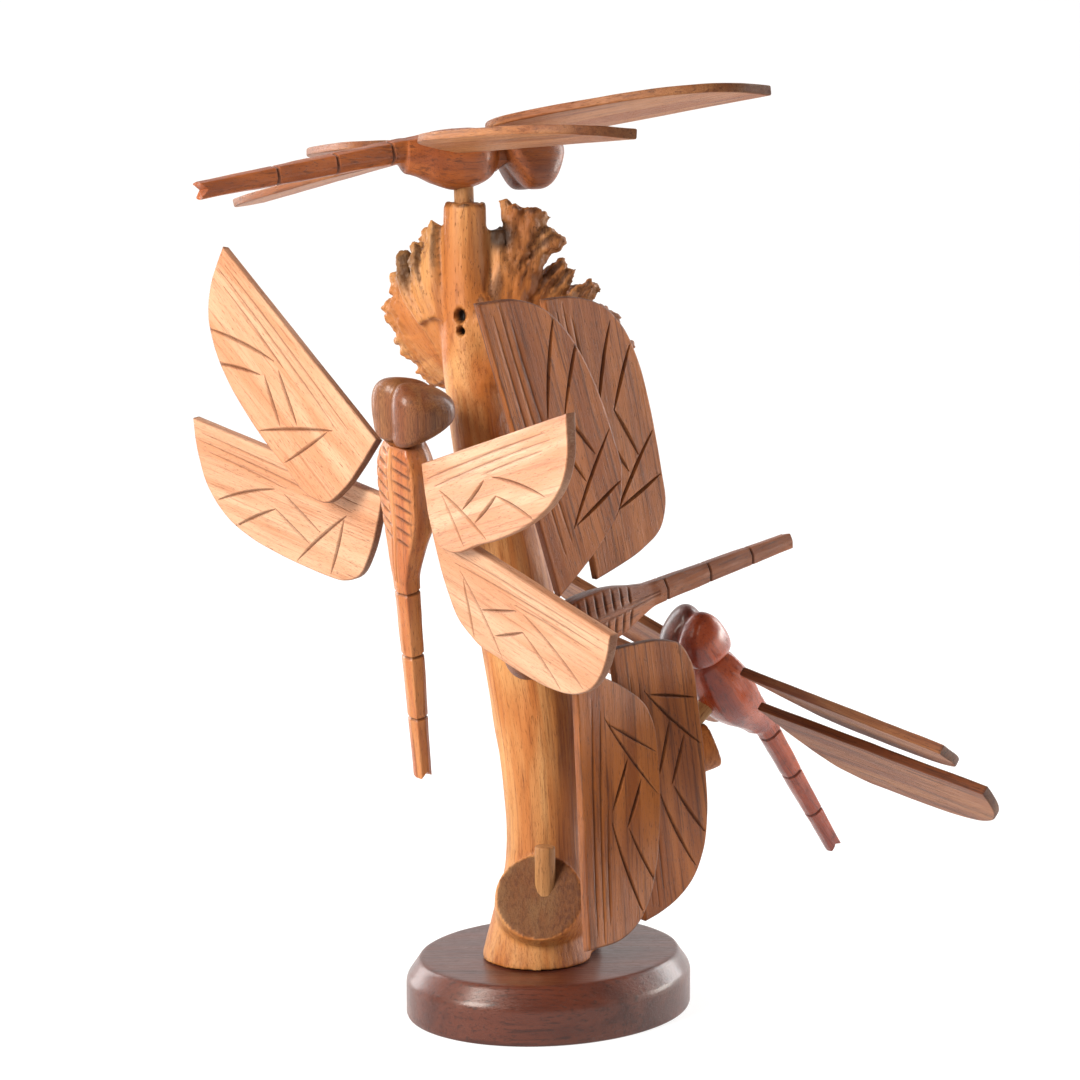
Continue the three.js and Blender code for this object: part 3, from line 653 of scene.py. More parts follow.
def plinth():
    low, high = 1.2, PLINTH["height"]
    half = PLINTH["half_length"]
    corner = 1.6
    outline = [(0, 0), (half - 30, 0), (half - low, 0), (half - 0.35, 0.35), (half, low)]
    side_top = high - PLINTH["bevel_down"]
    outline += [(half, z) for z in np.linspace(low + 1, side_top - corner, 7)]
    shoulder = np.linspace(0, 1, 5)
    inner = half - PLINTH["bevel_in"]
    outline += [(half - 0.9 * s ** 2, side_top - corner + 2 * corner * s) for s in shoulder]
    outline += [
        (half - 0.9 - (PLINTH["bevel_in"] - 1.4) * s, side_top + corner + (PLINTH["bevel_down"] - 2.1) * s)
        for s in np.linspace(0.1, 1, 6)
    ]
    outline += [(inner - 0.2, high - 0.15), (inner - 1.2, high)]
    outline += [(inner * share, high) for share in np.linspace(0.95, 0.05, 16)]
    outline = np.array(outline)
    turn = np.linspace(0, 2 * math.pi, PLINTH_SIDES, endpoint=False)
    rings = np.zeros((len(outline), PLINTH_SIDES, 3))
    rings[:, :, 0] = outline[:, 0, None] * np.cos(turn)
    rings[:, :, 1] = outline[:, 0, None] * np.sin(turn) * PLINTH["half_width"] / half
    rings[:, :, 2] = outline[:, 1, None]
    rings[0, :, 0:2] *= 0
    rings[0, :, 0] = 0.01 * np.cos(turn)
    rings[0, :, 1] = 0.01 * np.sin(turn)
    points, faces = loft(rings)
    spin = math.radians(PLINTH["turn"])
    across = points[:, :2] @ np.array([[math.cos(spin), math.sin(spin)], [-math.sin(spin), math.cos(spin)]])
    points = np.column_stack([across, points[:, 2]])
    worn = smoothstep(8, 20, points[:, 2])
    points[:, 2] -= 0.12 * worn * np.clip(1 + ripple(points, 16, 5, 2), 0, 2)
    grain = np.column_stack([points[:, 0], points[:, 1], points[:, 2]])
    finish_piece("plinth", PLINTH_WOOD, points, faces, grain, crease=40)


# Branch with burr

def wave(turn):
    """Ruffles of the rim, which die down on its smooth left, and how far each angle is on that side."""
    frills = np.sin(np.radians(turn * 15) + 1.7 * np.sin(np.radians(2 * turn)))
    left = smoothstep(100, 126, turn) * (1 - smoothstep(222, 250, turn))
    return frills * (1 - 0.7 * left), left


def burr_sheet():
    spokes = 420
    turn = np.linspace(0, 360, spokes, endpoint=False)
    angles, reaches = zip(*BURR_RIM)
    reach = curve_through(angles, reaches, turn)
    frills, left = wave(turn)
    crumble = ripple(np.column_stack([turn / 2.2, turn * 0, turn * 0]), 1, 31, 3)
    direction = np.column_stack([np.cos(np.radians(turn)), turn * 0, np.sin(np.radians(turn))])
    parts = np.concatenate([[0.08], np.linspace(0.2, 0.8, 14), np.linspace(0.83, 1, 8)])

    def ring(part, wall):
        ragged = part ** 5 * (1.7 * crumble - 1.2 * np.abs(frills) + 1.6 * frills)
        out = part * (reach + 1.5 * part * frills) + ragged
        bowl = BURR_DEPTH * part ** 1.7
        run = max(0.0, (part - TRUMPET["inner"]) / (1 - TRUMPET["inner"])) ** 1.2
        trumpet = TRUMPET["near"] + (TRUMPET["far"] - TRUMPET["near"]) * run
        deep = bowl + (trumpet - bowl) * left + part ** 2.2 * 2.6 * frills + part ** 4 * 0.8 * crumble
        return BURR_CENTRE + direction * out[:, None] + np.array([0, 1, 0]) * (deep + wall)[:, None]

    thick = [BURR_WALL[0] + (BURR_WALL[1] - BURR_WALL[0]) * part for part in parts]
    front = [ring(part, 0) for part in parts]
    back = [ring(part, wall) for part, wall in zip(parts[::-1], thick[::-1])]
    return loft(front + back)


def fan(spec, seed):
    """A flared tongue of burr wood with ridges along it and a ragged end."""
    sides = 44
    stations = list(zip(spec["line"], spec["half"]))
    rings = limb(stations, 0.8, sides, flat=spec["thick"])
    count = len(rings)
    middle = rings.mean(axis=1, keepdims=True)
    along = np.linspace(0, 1, count)[:, None]
    turn = np.linspace(0, 2 * math.pi, sides, endpoint=False)[None, :]
    ridges = 0.16 * along * np.sin(5 * turn + seed) + 0.1 * along * np.sin(9 * turn - 2 * seed)
    rings = middle + (rings - middle) * (1 + ridges)[:, :, None]
    heading = rings[-1].mean(axis=0) - rings[-4].mean(axis=0)
    heading /= np.linalg.norm(heading)
    torn = ripple(rings[-1] + 50, 2.6, 40 + seed, 2)
    for back in range(6):
        rings[-1 - back] += heading * (torn * (1.8 - 0.3 * back))[:, None]
    return loft(rings)


def branch_line_at(heights):
    places = np.array([place for place, _ in BRANCH_LINE], float)
    return curve_through(places[:, 2], places[:, :2], np.clip(heights, places[0, 2], places[-1, 2]))


def shade_of(points, normals, faces, reach, rays):
    """How much of the sky over each point is hidden by the piece itself, from 0 to 1."""
    tree = BVHTree.FromPolygons(points.tolist(), faces)
    golden = math.pi * (3 - math.sqrt(5))
    lifts = [1 - (index + 0.5) / rays for index in range(rays)]
    dome = [
        Vector((math.cos(golden * i) * math.sqrt(1 - z * z), math.sin(golden * i) * math.sqrt(1 - z * z), z))
        for i, z in enumerate(lifts)
    ]
    hidden = np.zeros(len(points))
    for index, (point, normal) in enumerate(zip(points, normals)):
        up = Vector(normal)
        start = Vector(point) + up * 0.35
        turn = up.to_track_quat("Z", "Y")
        hits = sum(1 for ray in dome if tree.ray_cast(start, turn @ ray, reach)[0] is not None)
        hidden[index] = hits / rays
    return hidden


def branch():
    trunk = limb(BRANCH_LINE, LIMB_STEP, 72)
    middle = trunk.mean(axis=1, keepdims=True)
    flat = trunk.reshape(-1, 3)
    swell = 0.035 * ripple(flat, (13, 13, 34), 3, 2) + 0.012 * ripple(flat, (3, 3, 22), 8, 1)
    trunk = middle + (trunk - middle) * (1 + swell.reshape(trunk.shape[:2]))[:, :, None]
    side = limb(SIDE_BRANCH, LIMB_STEP, 48)
    stump = limb(STUMP, LIMB_STEP, 64)
    skirt = limb(SKIRT, LIMB_STEP, 64)
    web = limb(WEB, LIMB_STEP, 48)
    solids = [loft(rings) for rings in (trunk, side, stump, skirt, web)]
    solids.append(burr_sheet())
    solids += [fan(spec, seed) for seed, spec in enumerate(FANS)]
    points, faces = remeshed(solids, VOXEL, SMOOTHING)
    normals = point_normals(points, faces)

    from_burr = points - BURR_CENTRE
    turn = np.degrees(np.arctan2(from_burr[:, 2], from_burr[:, 0])) % 360
    out = np.hypot(from_burr[:, 0], from_burr[:, 2])
    angles, reaches = zip(*BURR_RIM)
    part = out / curve_through(angles, reaches, turn)
    _, left = wave(turn)
    axis = branch_line_at(points[:, 2])
    across = points[:, 0] - axis[:, 0]
    off_axis = np.hypot(across, points[:, 1] - axis[:, 1])
    high = smoothstep(236, 246, points[:, 2])
    in_burr = high * smoothstep(11.5, 17, off_axis)
    rim = in_burr * smoothstep(0.72 + 0.1 * left, 0.98, part)
    stump_axis = np.array(STUMP[1][0], float) - np.array(STUMP[0][0], float)
    stump_axis /= np.linalg.norm(stump_axis)
    facing = normals @ stump_axis
    beyond = (points - np.array(STUMP[1][0])) @ stump_axis
    cut_face = smoothstep(0.9, 0.98, facing) * smoothstep(-1.5, -0.4, beyond)
    column_top = smoothstep(327.5, 329.5, points[:, 2]) * (1 - smoothstep(9, 11, off_axis))

    ridged = 1 - 2 * np.abs(ripple(points, (1.6, 1.6, 1.6), 17, 2))
    streaming = np.column_stack([turn * 0.55, out * 0.12, from_burr[:, 1] * 0.1])
    flow = ripple(streaming, 1.0, 23, 2)
    lumps = ripple(points, 3.4, 29, 2)
    push = rim * (0.4 * ridged + 1.0 * lumps) + in_burr * (1 - 0.5 * left) * 0.3 * flow
    fine = ripple(points - np.column_stack([axis, points[:, 2] * 0]), (2.2, 2.2, 30), 12, 2)
    push += (1 - in_burr) * (1 - cut_face) * 0.12 * fine
    push += column_top * (0.7 * ripple(points, 2.4, 47, 2) - 0.3)
    floor = PLINTH["height"] + GAP
    push *= smoothstep(floor + 0.5, floor + 3, points[:, 2])
    knot = np.zeros(len(points))
    for place, radius in KNOT_HOLES:
        away = np.hypot(points[:, 0] - place[0], (points[:, 2] - place[2]) / 1.25) / radius
        knot = np.maximum(knot, np.clip(1 - away ** 2, 0, 1) * (points[:, 1] < 0))
    push -= KNOT_DEPTH * knot ** 0.7
    points = points + normals * push[:, None]
    points[:, 2] = np.maximum(points[:, 2], floor)

    # Painted shade: where the branch hides much of its own sky it is darkened, strongly in the burr and
    # little on the bowl's smooth left side
    hidden = shade_of(points, normals, faces, SHADE["reach"], SHADE["rays"])
    dark = smoothstep(0.6, 0.98, hidden) * (0.1 + 0.6 * in_burr) * (1 - 0.85 * left)
    # More painted shade: the gap beside the column's top and the fold at the far left are darkened
    from_gap = np.hypot(points[:, 0] - SHADED_GAP[0], points[:, 2] - SHADED_GAP[1])
    gap = smoothstep(9, 3, from_gap) * smoothstep(9.2, 11, off_axis)
    from_fold = np.hypot(points[:, 0] - SHADED_OUTER_FOLD[0], (points[:, 2] - SHADED_OUTER_FOLD[1]) / 2)
    outer_fold = smoothstep(7, 2, from_fold) * high
    dark = np.clip(dark + 0.9 * gap * high + 0.6 * outer_fold, 0, 1)
    # Painted shade fills the knot holes; the stump's cut face is darker end grain
    dark = np.maximum(dark, smoothstep(0.05, 0.5, knot))
    dark = np.maximum(dark, 0.45 * cut_face)
    # Painted shade in the hollows also goes into the carved share, beside the darker rim, cut face and column
    # top
    painted_hollow_shade = 0.3 * smoothstep(0.35, 0.8, hidden) * (1 - 0.7 * left)
    carved = 0.5 * rim * (1 - 0.6 * left) + 0.5 * cut_face + painted_hollow_shade + 0.6 * column_top
    # Painted shade: the trunk's right side, turned from the key light, is made darker and more orange, mostly
    # below the burr; the low trunk and the burr away from its smooth left side are made warmer too
    shaded_right_side = smoothstep(0.05, 0.75, across / 13) * smoothstep(320, 240, points[:, 2])
    warm = 0.7 * shaded_right_side + 0.35 * smoothstep(110, 50, points[:, 2]) + 0.2 * in_burr * (1 - left)

    spread = 1 + 2 * smoothstep(245, 310, points[:, 2])
    grain = np.column_stack([points[:, 2], across / spread, (points[:, 1] - axis[:, 1]) / spread])
    shares = {"carved": np.clip(carved, 0, 0.9), "dark": dark, "warm": np.clip(warm, 0, 0.9)}
    finish_piece("branch", BRANCH_WOOD, points, faces, grain, shares, crease=60)


# Dragonfly bodies

def rounded_section():
    """The outline of tail and thorax in parts of half width, rise and drop, with its corners worn round."""
    ring = np.array(SECTION, float)
    for worn in (0.12, 0.25):
        after = np.roll(ring, -1, axis=0)
        near = ring * (1 - worn) + after * worn
        far = ring * worn + after * (1 - worn)
        ring = np.stack([near, far], axis=1).reshape(-1, 2)
    gaps = np.linalg.norm(np.roll(ring, -1, axis=0) - ring, axis=1)
    places = np.concatenate([[0], np.cumsum(gaps)])
    closed = np.concatenate([ring, ring[:1]])
    at = np.linspace(0, places[-1], SECTION_POINTS, endpoint=False)
    return np.column_stack([np.interp(at, places, closed[:, axis]) for axis in (0, 1)])


def body_profile(xs):
    """Half width, rise and drop of tail and thorax at each x."""
    stations = [(TAIL_TIP, TAIL_HALF[0], TAIL_HALF[0], TAIL_HALF[0]), (-80, 4.35, 4.35, 4.35)]
    stations += [(TAIL_ROOT - 6, TAIL_HALF[1], TAIL_HALF[1], TAIL_HALF[1]), *THORAX]
    table = np.array(stations, float)
    return curve_through(table[:, 0], table[:, 1:], xs)


def head_rings(fly, section):
    """Two eye lobes side by side, blocky, shorter below than above and parted by a shallow valley."""
    long, wide, high = fly["head_size"]
    length, valley_depth = HEAD["length"] * long, HEAD["valley"] * long
    full_half, full_up, full_apart = HEAD["half"] * wide, HEAD["up"] * high, HEAD["apart"] * wide
    angles = np.arctan2(section[:, 1], section[:, 0])
    cosine, sine = np.cos(angles), np.sin(angles)
    rings = []
    first = -math.asin(HEAD["start"])
    square = HEAD["square"]
    for share in np.sin(np.linspace(first, 0.5 * math.pi, 32)):
        scale = max(0.03, (1 - abs(share) ** square) ** (1 / square))
        half, up, apart = full_half * scale, full_up * scale, full_apart * scale
        reach = np.zeros(len(angles))
        for side in (-1, 1):
            a = (cosine / half) ** 2 + (sine / up) ** 2
            b = -2 * cosine * side * apart / half ** 2
            c = (apart / half) ** 2 - 1
            root = (-b + np.sqrt(np.maximum(b * b - 4 * a * c, 0))) / (2 * a)
            reach += np.exp(root * 1.6)
        reach = np.log(reach / 2) / 1.6 + 0.3
        boxy = 1 + 0.07 * np.sin(2 * angles) ** 2
        y, z = reach * boxy * cosine, reach * boxy * sine
        valley = valley_depth * np.exp(-(y / 1.7) ** 2) * max(share, 0) ** 2
        x = fly["head_x"] + length * share * (1 + HEAD["taper"] * z / full_up) - valley
        drop = fly["head_drop"] * (0.35 + 0.65 * smoothstep(-0.95, -0.3, share))
        rings.append(np.column_stack([x, y, z - drop]))
    return rings


def away_from_line(points, start, end):
    """Distance of each point from a straight line, and how far along the line it lies, from 0 to 1."""
    run = end - start
    share = np.clip((points - start) @ run / (run @ run), 0, 1)
    return np.linalg.norm(points - start - share[:, None] * run, axis=1), share


def back_carving(flat, half_widths, rings):
    """Depth of the tail's ring cuts, the hatching and the grooves beside the ridge at each point."""
    deepest = np.zeros(len(flat))
    for ring_x in rings:
        deepest = np.maximum(deepest, 0.75 * np.clip(1 - np.abs(flat[:, 0] - ring_x) / 0.9, 0, 1))
    stations = np.array(THORAX, float)
    ridge_end, shoulder_end = HATCH_ENDS
    for along in np.linspace(HATCH["start"], HATCH["end"], HATCH["count"]):
        half, up = curve_through(stations[:, 0], stations[:, 1:3], np.array([along]))[0]
        for side in (-1, 1):
            ridge = np.array([along, side * ridge_end[0] * half, ridge_end[1] * up])
            slanted = along + side * HATCH["slant"]
            shoulder = np.array([slanted, side * shoulder_end[0] * half, shoulder_end[1] * up])
            away, share = away_from_line(flat, ridge, shoulder)
            lens = np.sqrt(np.clip(np.sin(math.pi * (0.06 + 0.88 * share)), 0, 1))
            cut = HATCH["depth"] * lens * np.clip(1.25 - away / HATCH["width"], 0, 1)
            deepest = np.maximum(deepest, np.where(flat[:, 2] > 0, cut, 0))
    on_back = (flat[:, 2] > 0) & (flat[:, 0] > TAIL_ROOT) & (flat[:, 0] < 19)
    for side in (-1, 1):
        beside = np.abs(flat[:, 1] - side * RIDGE_GROOVE["at"] * half_widths)
        groove = RIDGE_GROOVE["depth"] * np.clip(1 - beside / RIDGE_GROOVE["width"], 0, 1)
        deepest = np.maximum(deepest, np.where(on_back, groove, 0))
    return deepest


def dragonfly_body(fly, place):
    section = rounded_section()
    long, wide, up, down = fly["stretch"]
    tail = fly["tail"]
    tail_xs = np.arange(TAIL_TIP, TAIL_ROOT, 1.0)
    for ring_x in tail["rings"]:
        tail_xs = np.concatenate([tail_xs, ring_x + np.array([-0.9, -0.45, 0, 0.45, 0.9])])
    head_back = HEAD["length"] * fly["head_size"][0] * HEAD["start"] * (1 + 0.4 * HEAD["taper"])
    neck_end = (fly["head_x"] - head_back - 0.3) / long
    xs = np.unique(np.concatenate([tail_xs, np.arange(TAIL_ROOT, neck_end, 0.42)]))
    profile = body_profile(xs)
    y = section[:, 0][None, :] * profile[:, 0][:, None]
    rise = np.where(section[:, 1][None, :] > 0, profile[:, 1][:, None], profile[:, 2][:, None])
    z = section[:, 1][None, :] * rise
    x = np.repeat(xs[:, None], SECTION_POINTS, axis=1)
    rings = np.stack([x, y, z], axis=2)
    shape = rings.shape
    flat = rings.reshape(-1, 3)

    half_widths = np.repeat(profile[:, 0][:, None], SECTION_POINTS, axis=1).ravel()
    deepest = back_carving(flat, half_widths, tail["rings"])
    inward = flat * np.array([0.0, -1.0, -1.0])
    inward /= np.linalg.norm(inward, axis=1)[:, None]
    whittled = WHITTLED * (1 + ripple(flat, (9, 4, 4), 61, 2))
    flat = flat + inward * (deepest + whittled)[:, None]

    fork = np.clip(1 - np.abs(flat[:, 2]) / TAIL_FORK, 0, 1) * smoothstep(TAIL_TIP + 4, TAIL_TIP, flat[:, 0])
    flat[:, 0] += TAIL_FORK * fork
    bend = Matrix.Rotation(math.radians(-tail["droop"]), 3, "Y")
    bend = bend @ Matrix.Rotation(math.radians(tail["turn"]), 3, "Z")
    behind = flat - np.array([TAIL_ROOT, 0, 0])
    behind[:, 0] *= tail["stretch"]
    behind = behind @ np.array(bend).T + np.array([TAIL_ROOT * long * fly["waist"], 0, tail["rise"]])
    in_front = flat * np.array([long, wide, 1])
    in_front[:, 2] *= np.where(flat[:, 2] > 0, up, down)
    in_front[:, 0] = np.where(flat[:, 0] < 0, in_front[:, 0] * fly["waist"], in_front[:, 0])
    in_front[:, 2] += tail["rise"] * smoothstep(LIFT_FROM, -TAIL_ROOT, -flat[:, 0])
    melt = smoothstep(TAIL_ROOT - 1, TAIL_ROOT + 5, flat[:, 0])[:, None]
    flat = behind + (in_front - behind) * melt
    rings = list(flat.reshape(shape))
    rings += head_rings(fly, section)
    points, faces = loft(rings)
    carved = np.zeros(len(points))
    carved[:len(deepest)] = 0.85 * np.clip(deepest / 0.6, 0, 1)
    # The eye lobes are darkened, each by its own amount; where one is darker than the other, that is painted
    # shade
    left_dark, right_dark = fly["head_dark"]
    in_head = smoothstep(neck_end * long - 2, neck_end * long + 1.5, points[:, 0])
    side = smoothstep(-1.5, 1.5, points[:, 1])
    carved = np.maximum(carved, in_head * (right_dark + (left_dark - right_dark) * side))
    grain = points + 37.0 * (1 + DRAGONFLIES.index(fly))
    node = f"dragonfly_{fly['name']}_body"
    material = BODY_WOOD[fly["name"]]
    finish_piece(node, material, points, faces, grain, {"carved": carved}, place=place)


# Wings

def closed_normals(outline):
    """Unit vectors to the right of a closed line's run, at its points, longer at corners."""
    before = outline - np.roll(outline, 1, axis=0)
    after = np.roll(outline, -1, axis=0) - outline
    before /= np.linalg.norm(before, axis=1)[:, None]
    after /= np.linalg.norm(after, axis=1)[:, None]
    right_before = np.column_stack([before[:, 1], -before[:, 0]])
    right_after = np.column_stack([after[:, 1], -after[:, 0]])
    total = right_before + right_after
    return total / np.maximum(0.5 * (total ** 2).sum(axis=1), 0.55)[:, None]


def wing_line(kind, lean, span, chord):
    """The blank's outline as points about a step apart, none of them close beside its two sharp corners."""
    leaning = [(s + ROOT_LEAN * lean * c, c) for s, c in WING_ROOT]
    curved = dense_line(np.array(leaning + WING_OUTLINE[kind]) * [span, chord], OUTLINE_STEP)
    tip, root = curved[-1], curved[0]
    inner = curved[1:-1]
    from_tip = np.linalg.norm(inner - tip, axis=1)
    from_root = np.linalg.norm(inner - root, axis=1)
    clear = (from_tip > CORNER_CLEAR) & (from_root > CORNER_CLEAR)
    length = tip[0] - root[0]
    count = int((length - 2 * CORNER_CLEAR) / OUTLINE_STEP)
    shares = np.linspace(CORNER_CLEAR / length, 1 - CORNER_CLEAR / length, count + 1)
    straight = tip + (root - tip) * shares[:, None]
    return np.concatenate([[root], inner[clear], [tip], straight])


def cut_lines(span, chord, shift, seed):
    """The veins and scores as dense lines with their half width and depth at each point."""
    cuts = []
    for marks, size in ((VEINS, VEIN), (SCORES, SCORE)):
        for number, (start, end, bulge) in enumerate(marks):
            places = np.array([[seed * 3.7, number * 5.3, end_place] for end_place in (0.5, 9.5)])
            stray = VEIN_STRAY * ripple(places, 1, 91)
            if marks is SCORES:
                stray *= 0
            a = (np.array(start) + [shift + stray[0], stray[0]]) * [span, chord]
            b = (np.array(end) + [shift + stray[1], stray[1]]) * [span, chord]
            run = b - a
            length = np.linalg.norm(run)
            share = np.linspace(0, 1, max(7, int(length / 1.1)))
            side = np.array([-run[1], run[0]]) / length
            line = a + share[:, None] * run + side * (4 * bulge * share * (1 - share))[:, None]
            lens = np.sqrt(np.clip(np.sin(math.pi * (0.03 + 0.94 * share)), 0, 1))
            cuts.append({"line": line, "half": 0.5 * size["width"] * lens, "depth": size["depth"] * lens,
                         "vein": marks is VEINS})
    return cuts


def cut_depth(flat, cuts):
    """Depth of the carving under each (span, chord) point, and how dark it is."""
    depth = np.zeros(len(flat))
    tint = np.zeros(len(flat))
    for cut in cuts:
        line, half, deep = cut["line"], cut["half"], cut["depth"]
        best = np.full(len(flat), 1e9)
        here = np.zeros(len(flat))
        width = np.ones(len(flat))
        for index in range(len(line) - 1):
            run = line[index + 1] - line[index]
            share = np.clip((flat - line[index]) @ run / (run @ run), 0, 1)
            away = np.linalg.norm(flat - line[index] - share[:, None] * run, axis=1)
            nearer = away < best
            best = np.where(nearer, away, best)
            here = np.where(nearer, deep[index] + share * (deep[index + 1] - deep[index]), here)
            width = np.where(nearer, half[index] + share * (half[index + 1] - half[index]), width)
        inside = np.clip(1 - best / np.maximum(width, 0.05), 0, 1)
        depth = np.maximum(depth, here * inside)
        tint = np.maximum(tint, (1.0 if cut["vein"] else 0.7) * np.clip(inside * 2.2, 0, 1))
    return depth, tint


def inside_line(points, line, margin):
    """Which points lie inside a closed line and farther from it than the margin."""
    after = np.roll(line, -1, axis=0)
    inside = np.zeros(len(points), bool)
    nearest = np.full(len(points), 1e9)
    for a, b in zip(line, after):
        crosses = (a[1] > points[:, 1]) != (b[1] > points[:, 1])
        level = b[1] - a[1] if b[1] != a[1] else 1.0
        where = a[0] + (points[:, 1] - a[1]) * (b[0] - a[0]) / level
        inside ^= crosses & (points[:, 0] < where)
        away, _ = away_from_line(points, a, b)
        nearest = np.minimum(nearest, away)
    return inside & (nearest > margin)


def face_points(outline, pitch, cuts):
    """A sheet of triangles inside the outline, finer along the cuts.

    It gives the (span, chord) points, the triangles, and for each point its number in the outline or -1.
    """
    count = len(outline)
    edges = [(index, (index + 1) % count) for index in range(count)]
    low, high = outline.min(axis=0), outline.max(axis=0)
    lattice = []
    for row, chord in enumerate(np.arange(low[1] + 0.4 * pitch, high[1], pitch * 0.866)):
        spans = np.arange(low[0] + (row % 2) * 0.5 * pitch, high[0], pitch)
        lattice.append(np.column_stack([spans, np.full(len(spans), chord)]))
    lattice = np.concatenate(lattice)
    keep = inside_line(lattice, outline, 0.5 * pitch)
    for cut in cuts:
        for place, half in zip(cut["line"], cut["half"]):
            keep &= np.linalg.norm(lattice - place, axis=1) > half + 0.35
    loop = list(outline) + list(lattice[keep])
    for cut in cuts:
        line = cut["line"]
        run = np.gradient(line, axis=0)
        run /= np.linalg.norm(run, axis=1)[:, None]
        side = np.column_stack([-run[:, 1], run[:, 0]])
        for share in (-1, 0, 1):
            row = line + side * (share * cut["half"])[:, None]
            row = row[inside_line(row, outline, 0.6)]
            first = len(loop)
            loop += list(row)
            edges += [(index, index + 1) for index in range(first, len(loop) - 1)]
    border = [list(range(count))]
    made, _, faces, origins, *_ = delaunay_2d_cdt([Vector(p) for p in loop], edges, border, 1, POINTS_MEET)
    on_ring = [next((origin for origin in came_from if origin < count), -1) for came_from in origins]
    return np.array([tuple(point) for point in made]), faces, on_ring


def plate(outline, thickness, cuts):
    """A closed plate with worn edges, its carved face upwards, as points (span, chord, height) and faces."""
    inward = closed_normals(outline)
    profile = [
        (WING_EDGE, -1, 0), (0.45 * WING_EDGE, -1, 0.1), (0.12 * WING_EDGE, -1, 0.42), (0, -1, 1),
        (0, 1, 1), (0.12 * WING_EDGE, 1, 0.42), (0.45 * WING_EDGE, 1, 0.1), (WING_EDGE, 1, 0),
    ]
    points = []
    for inset, way, drop in profile:
        ring = outline + inward * inset
        height = way * (thickness(ring[:, 1]) - drop * WING_EDGE)
        points.extend(np.column_stack([ring, height]))
    count = len(outline)
    faces = grid_faces(len(profile), count, closed_ends=False)
    for way, pitch, marks in ((1, LATTICE["top"], cuts), (-1, LATTICE["under"], [])):
        first_ring = (len(profile) - 1) * count if way > 0 else 0
        ring = np.array(points[first_ring:first_ring + count])[:, :2]
        flat, triangles, on_ring = face_points(ring, pitch, marks)
        height = way * thickness(flat[:, 1])
        if marks:
            height -= cut_depth(flat, marks)[0]
        used = sorted({corner for triangle in triangles for corner in triangle})
        place = {}
        for corner in used:
            if on_ring[corner] >= 0:
                place[corner] = first_ring + on_ring[corner]
            else:
                place[corner] = len(points)
                points.append(np.array([*flat[corner], height[corner]]))
        for a, b, c in triangles:
            ab, ac = flat[b] - flat[a], flat[c] - flat[a]
            corners = (a, b, c) if (ab[0] * ac[1] - ab[1] * ac[0]) * way > 0 else (a, c, b)
            faces.append(tuple(place[corner] for corner in corners))
    return np.array(points), faces


def tenon():
    """A round tenon whittled flat where it runs into the plate, along +X, at the leading edge."""
    stations = [(-TENON_REACH, 1.0, 1.0), (-7.2, 1.0, 1.0), (1, 1.0, 1.0), (5, 1.12, 0.86), (10, 1.1, 0.62),
                (14, 0.7, 0.4)]
    table = np.array(stations)
    xs = np.linspace(-TENON_REACH, 14, 30)
    wide, deep = curve_through(table[:, 0], table[:, 1:], xs).T * TENON_RADIUS
    turn = np.linspace(0, 2 * math.pi, 28, endpoint=False)
    rings = np.zeros((len(xs), len(turn), 3))
    rings[:, :, 0] = xs[:, None]
    rings[:, :, 1] = TENON_RADIUS + 0.25 + wide[:, None] * np.cos(turn)
    rings[:, :, 2] = deep[:, None] * np.sin(turn)
    return loft(rings)


def wing_seat(fly, key):
    sweep, lift, twist, span, chord, lean = fly["wings"][key]
    side = 1 if key.startswith("left") else -1
    kind = "fore" if key.endswith("forewing") else "hind"
    sweep, lift, twist = math.radians(sweep), math.radians(lift), math.radians(twist)
    outward = math.sin(sweep)
    along = Vector((math.cos(sweep), side * outward * math.cos(lift), outward * math.sin(lift)))
    upward = Vector((0, 0, 1))
    upward = (upward - along * upward.dot(along)).normalized()
    trailing = upward.cross(along) * side
    chordwise = trailing * math.cos(twist) + upward * math.sin(twist)
    normal = along.cross(chordwise) * side
    x, y, z = WING_ROOTS[kind]
    root = Vector((x * fly["stretch"][0], side * y * fly["stretch"][1], z))
    turned = Matrix((along, chordwise * side, normal)).transposed().to_4x4()
    return {"side": side, "kind": kind, "span": span, "chord": chord, "lean": lean,
            "place": Matrix.Translation(root) @ turned}


def wing(fly, key, place, seed):
    seat = wing_seat(fly, key)
    span, chord, side = seat["span"], seat["chord"], seat["side"]
    outline = wing_line(seat["kind"], seat["lean"], span - EDGE_WORN, chord - EDGE_WORN)
    leading, trailing = WING_THICK

    def thickness(offset):
        return 0.5 * (leading + (trailing - leading) * np.clip(offset / chord, 0, 1))

    shift = VEIN_SHIFTS.get((fly["name"], key), 0.0)
    cuts = cut_lines(span, chord, shift, seed)
    points, faces = plate(outline, thickness, cuts)
    points, faces = combined("UNION", (points, faces), tenon())
    _, tint = cut_depth(points[:, :2], cuts)
    carved = 0.9 * np.where(points[:, 2] > 0, tint, 0)
    across_edge = closed_normals(outline)
    nearest = np.full(len(points), 1e9)
    end_grain = np.zeros(len(points))
    for place_on_edge, normal in zip(outline, across_edge):
        away = np.linalg.norm(points[:, :2] - place_on_edge, axis=1)
        nearer = away < nearest
        nearest = np.where(nearer, away, nearest)
        end_grain = np.where(nearer, min(1.0, abs(normal[0])), end_grain)
    at_edge = smoothstep(0.6, 0.2, nearest)
    carved = np.maximum(carved, at_edge * (0.42 + 0.45 * end_grain))
    points[:, 2] += 0.1 * ripple(points + seed * 31.0, (16, 7, 50), 71, 2)
    grain = points + np.array([seed * 57.0, seed * 23.0, seed * 11.0])
    points[:, 1] *= side
    if side < 0:
        faces = [face[::-1] for face in faces]
    node = f"dragonfly_{fly['name']}_{key}"
    finish_piece(node, WING_WOOD[fly["name"]], points, faces, grain, {"carved": carved},
                 place=place @ seat["place"])


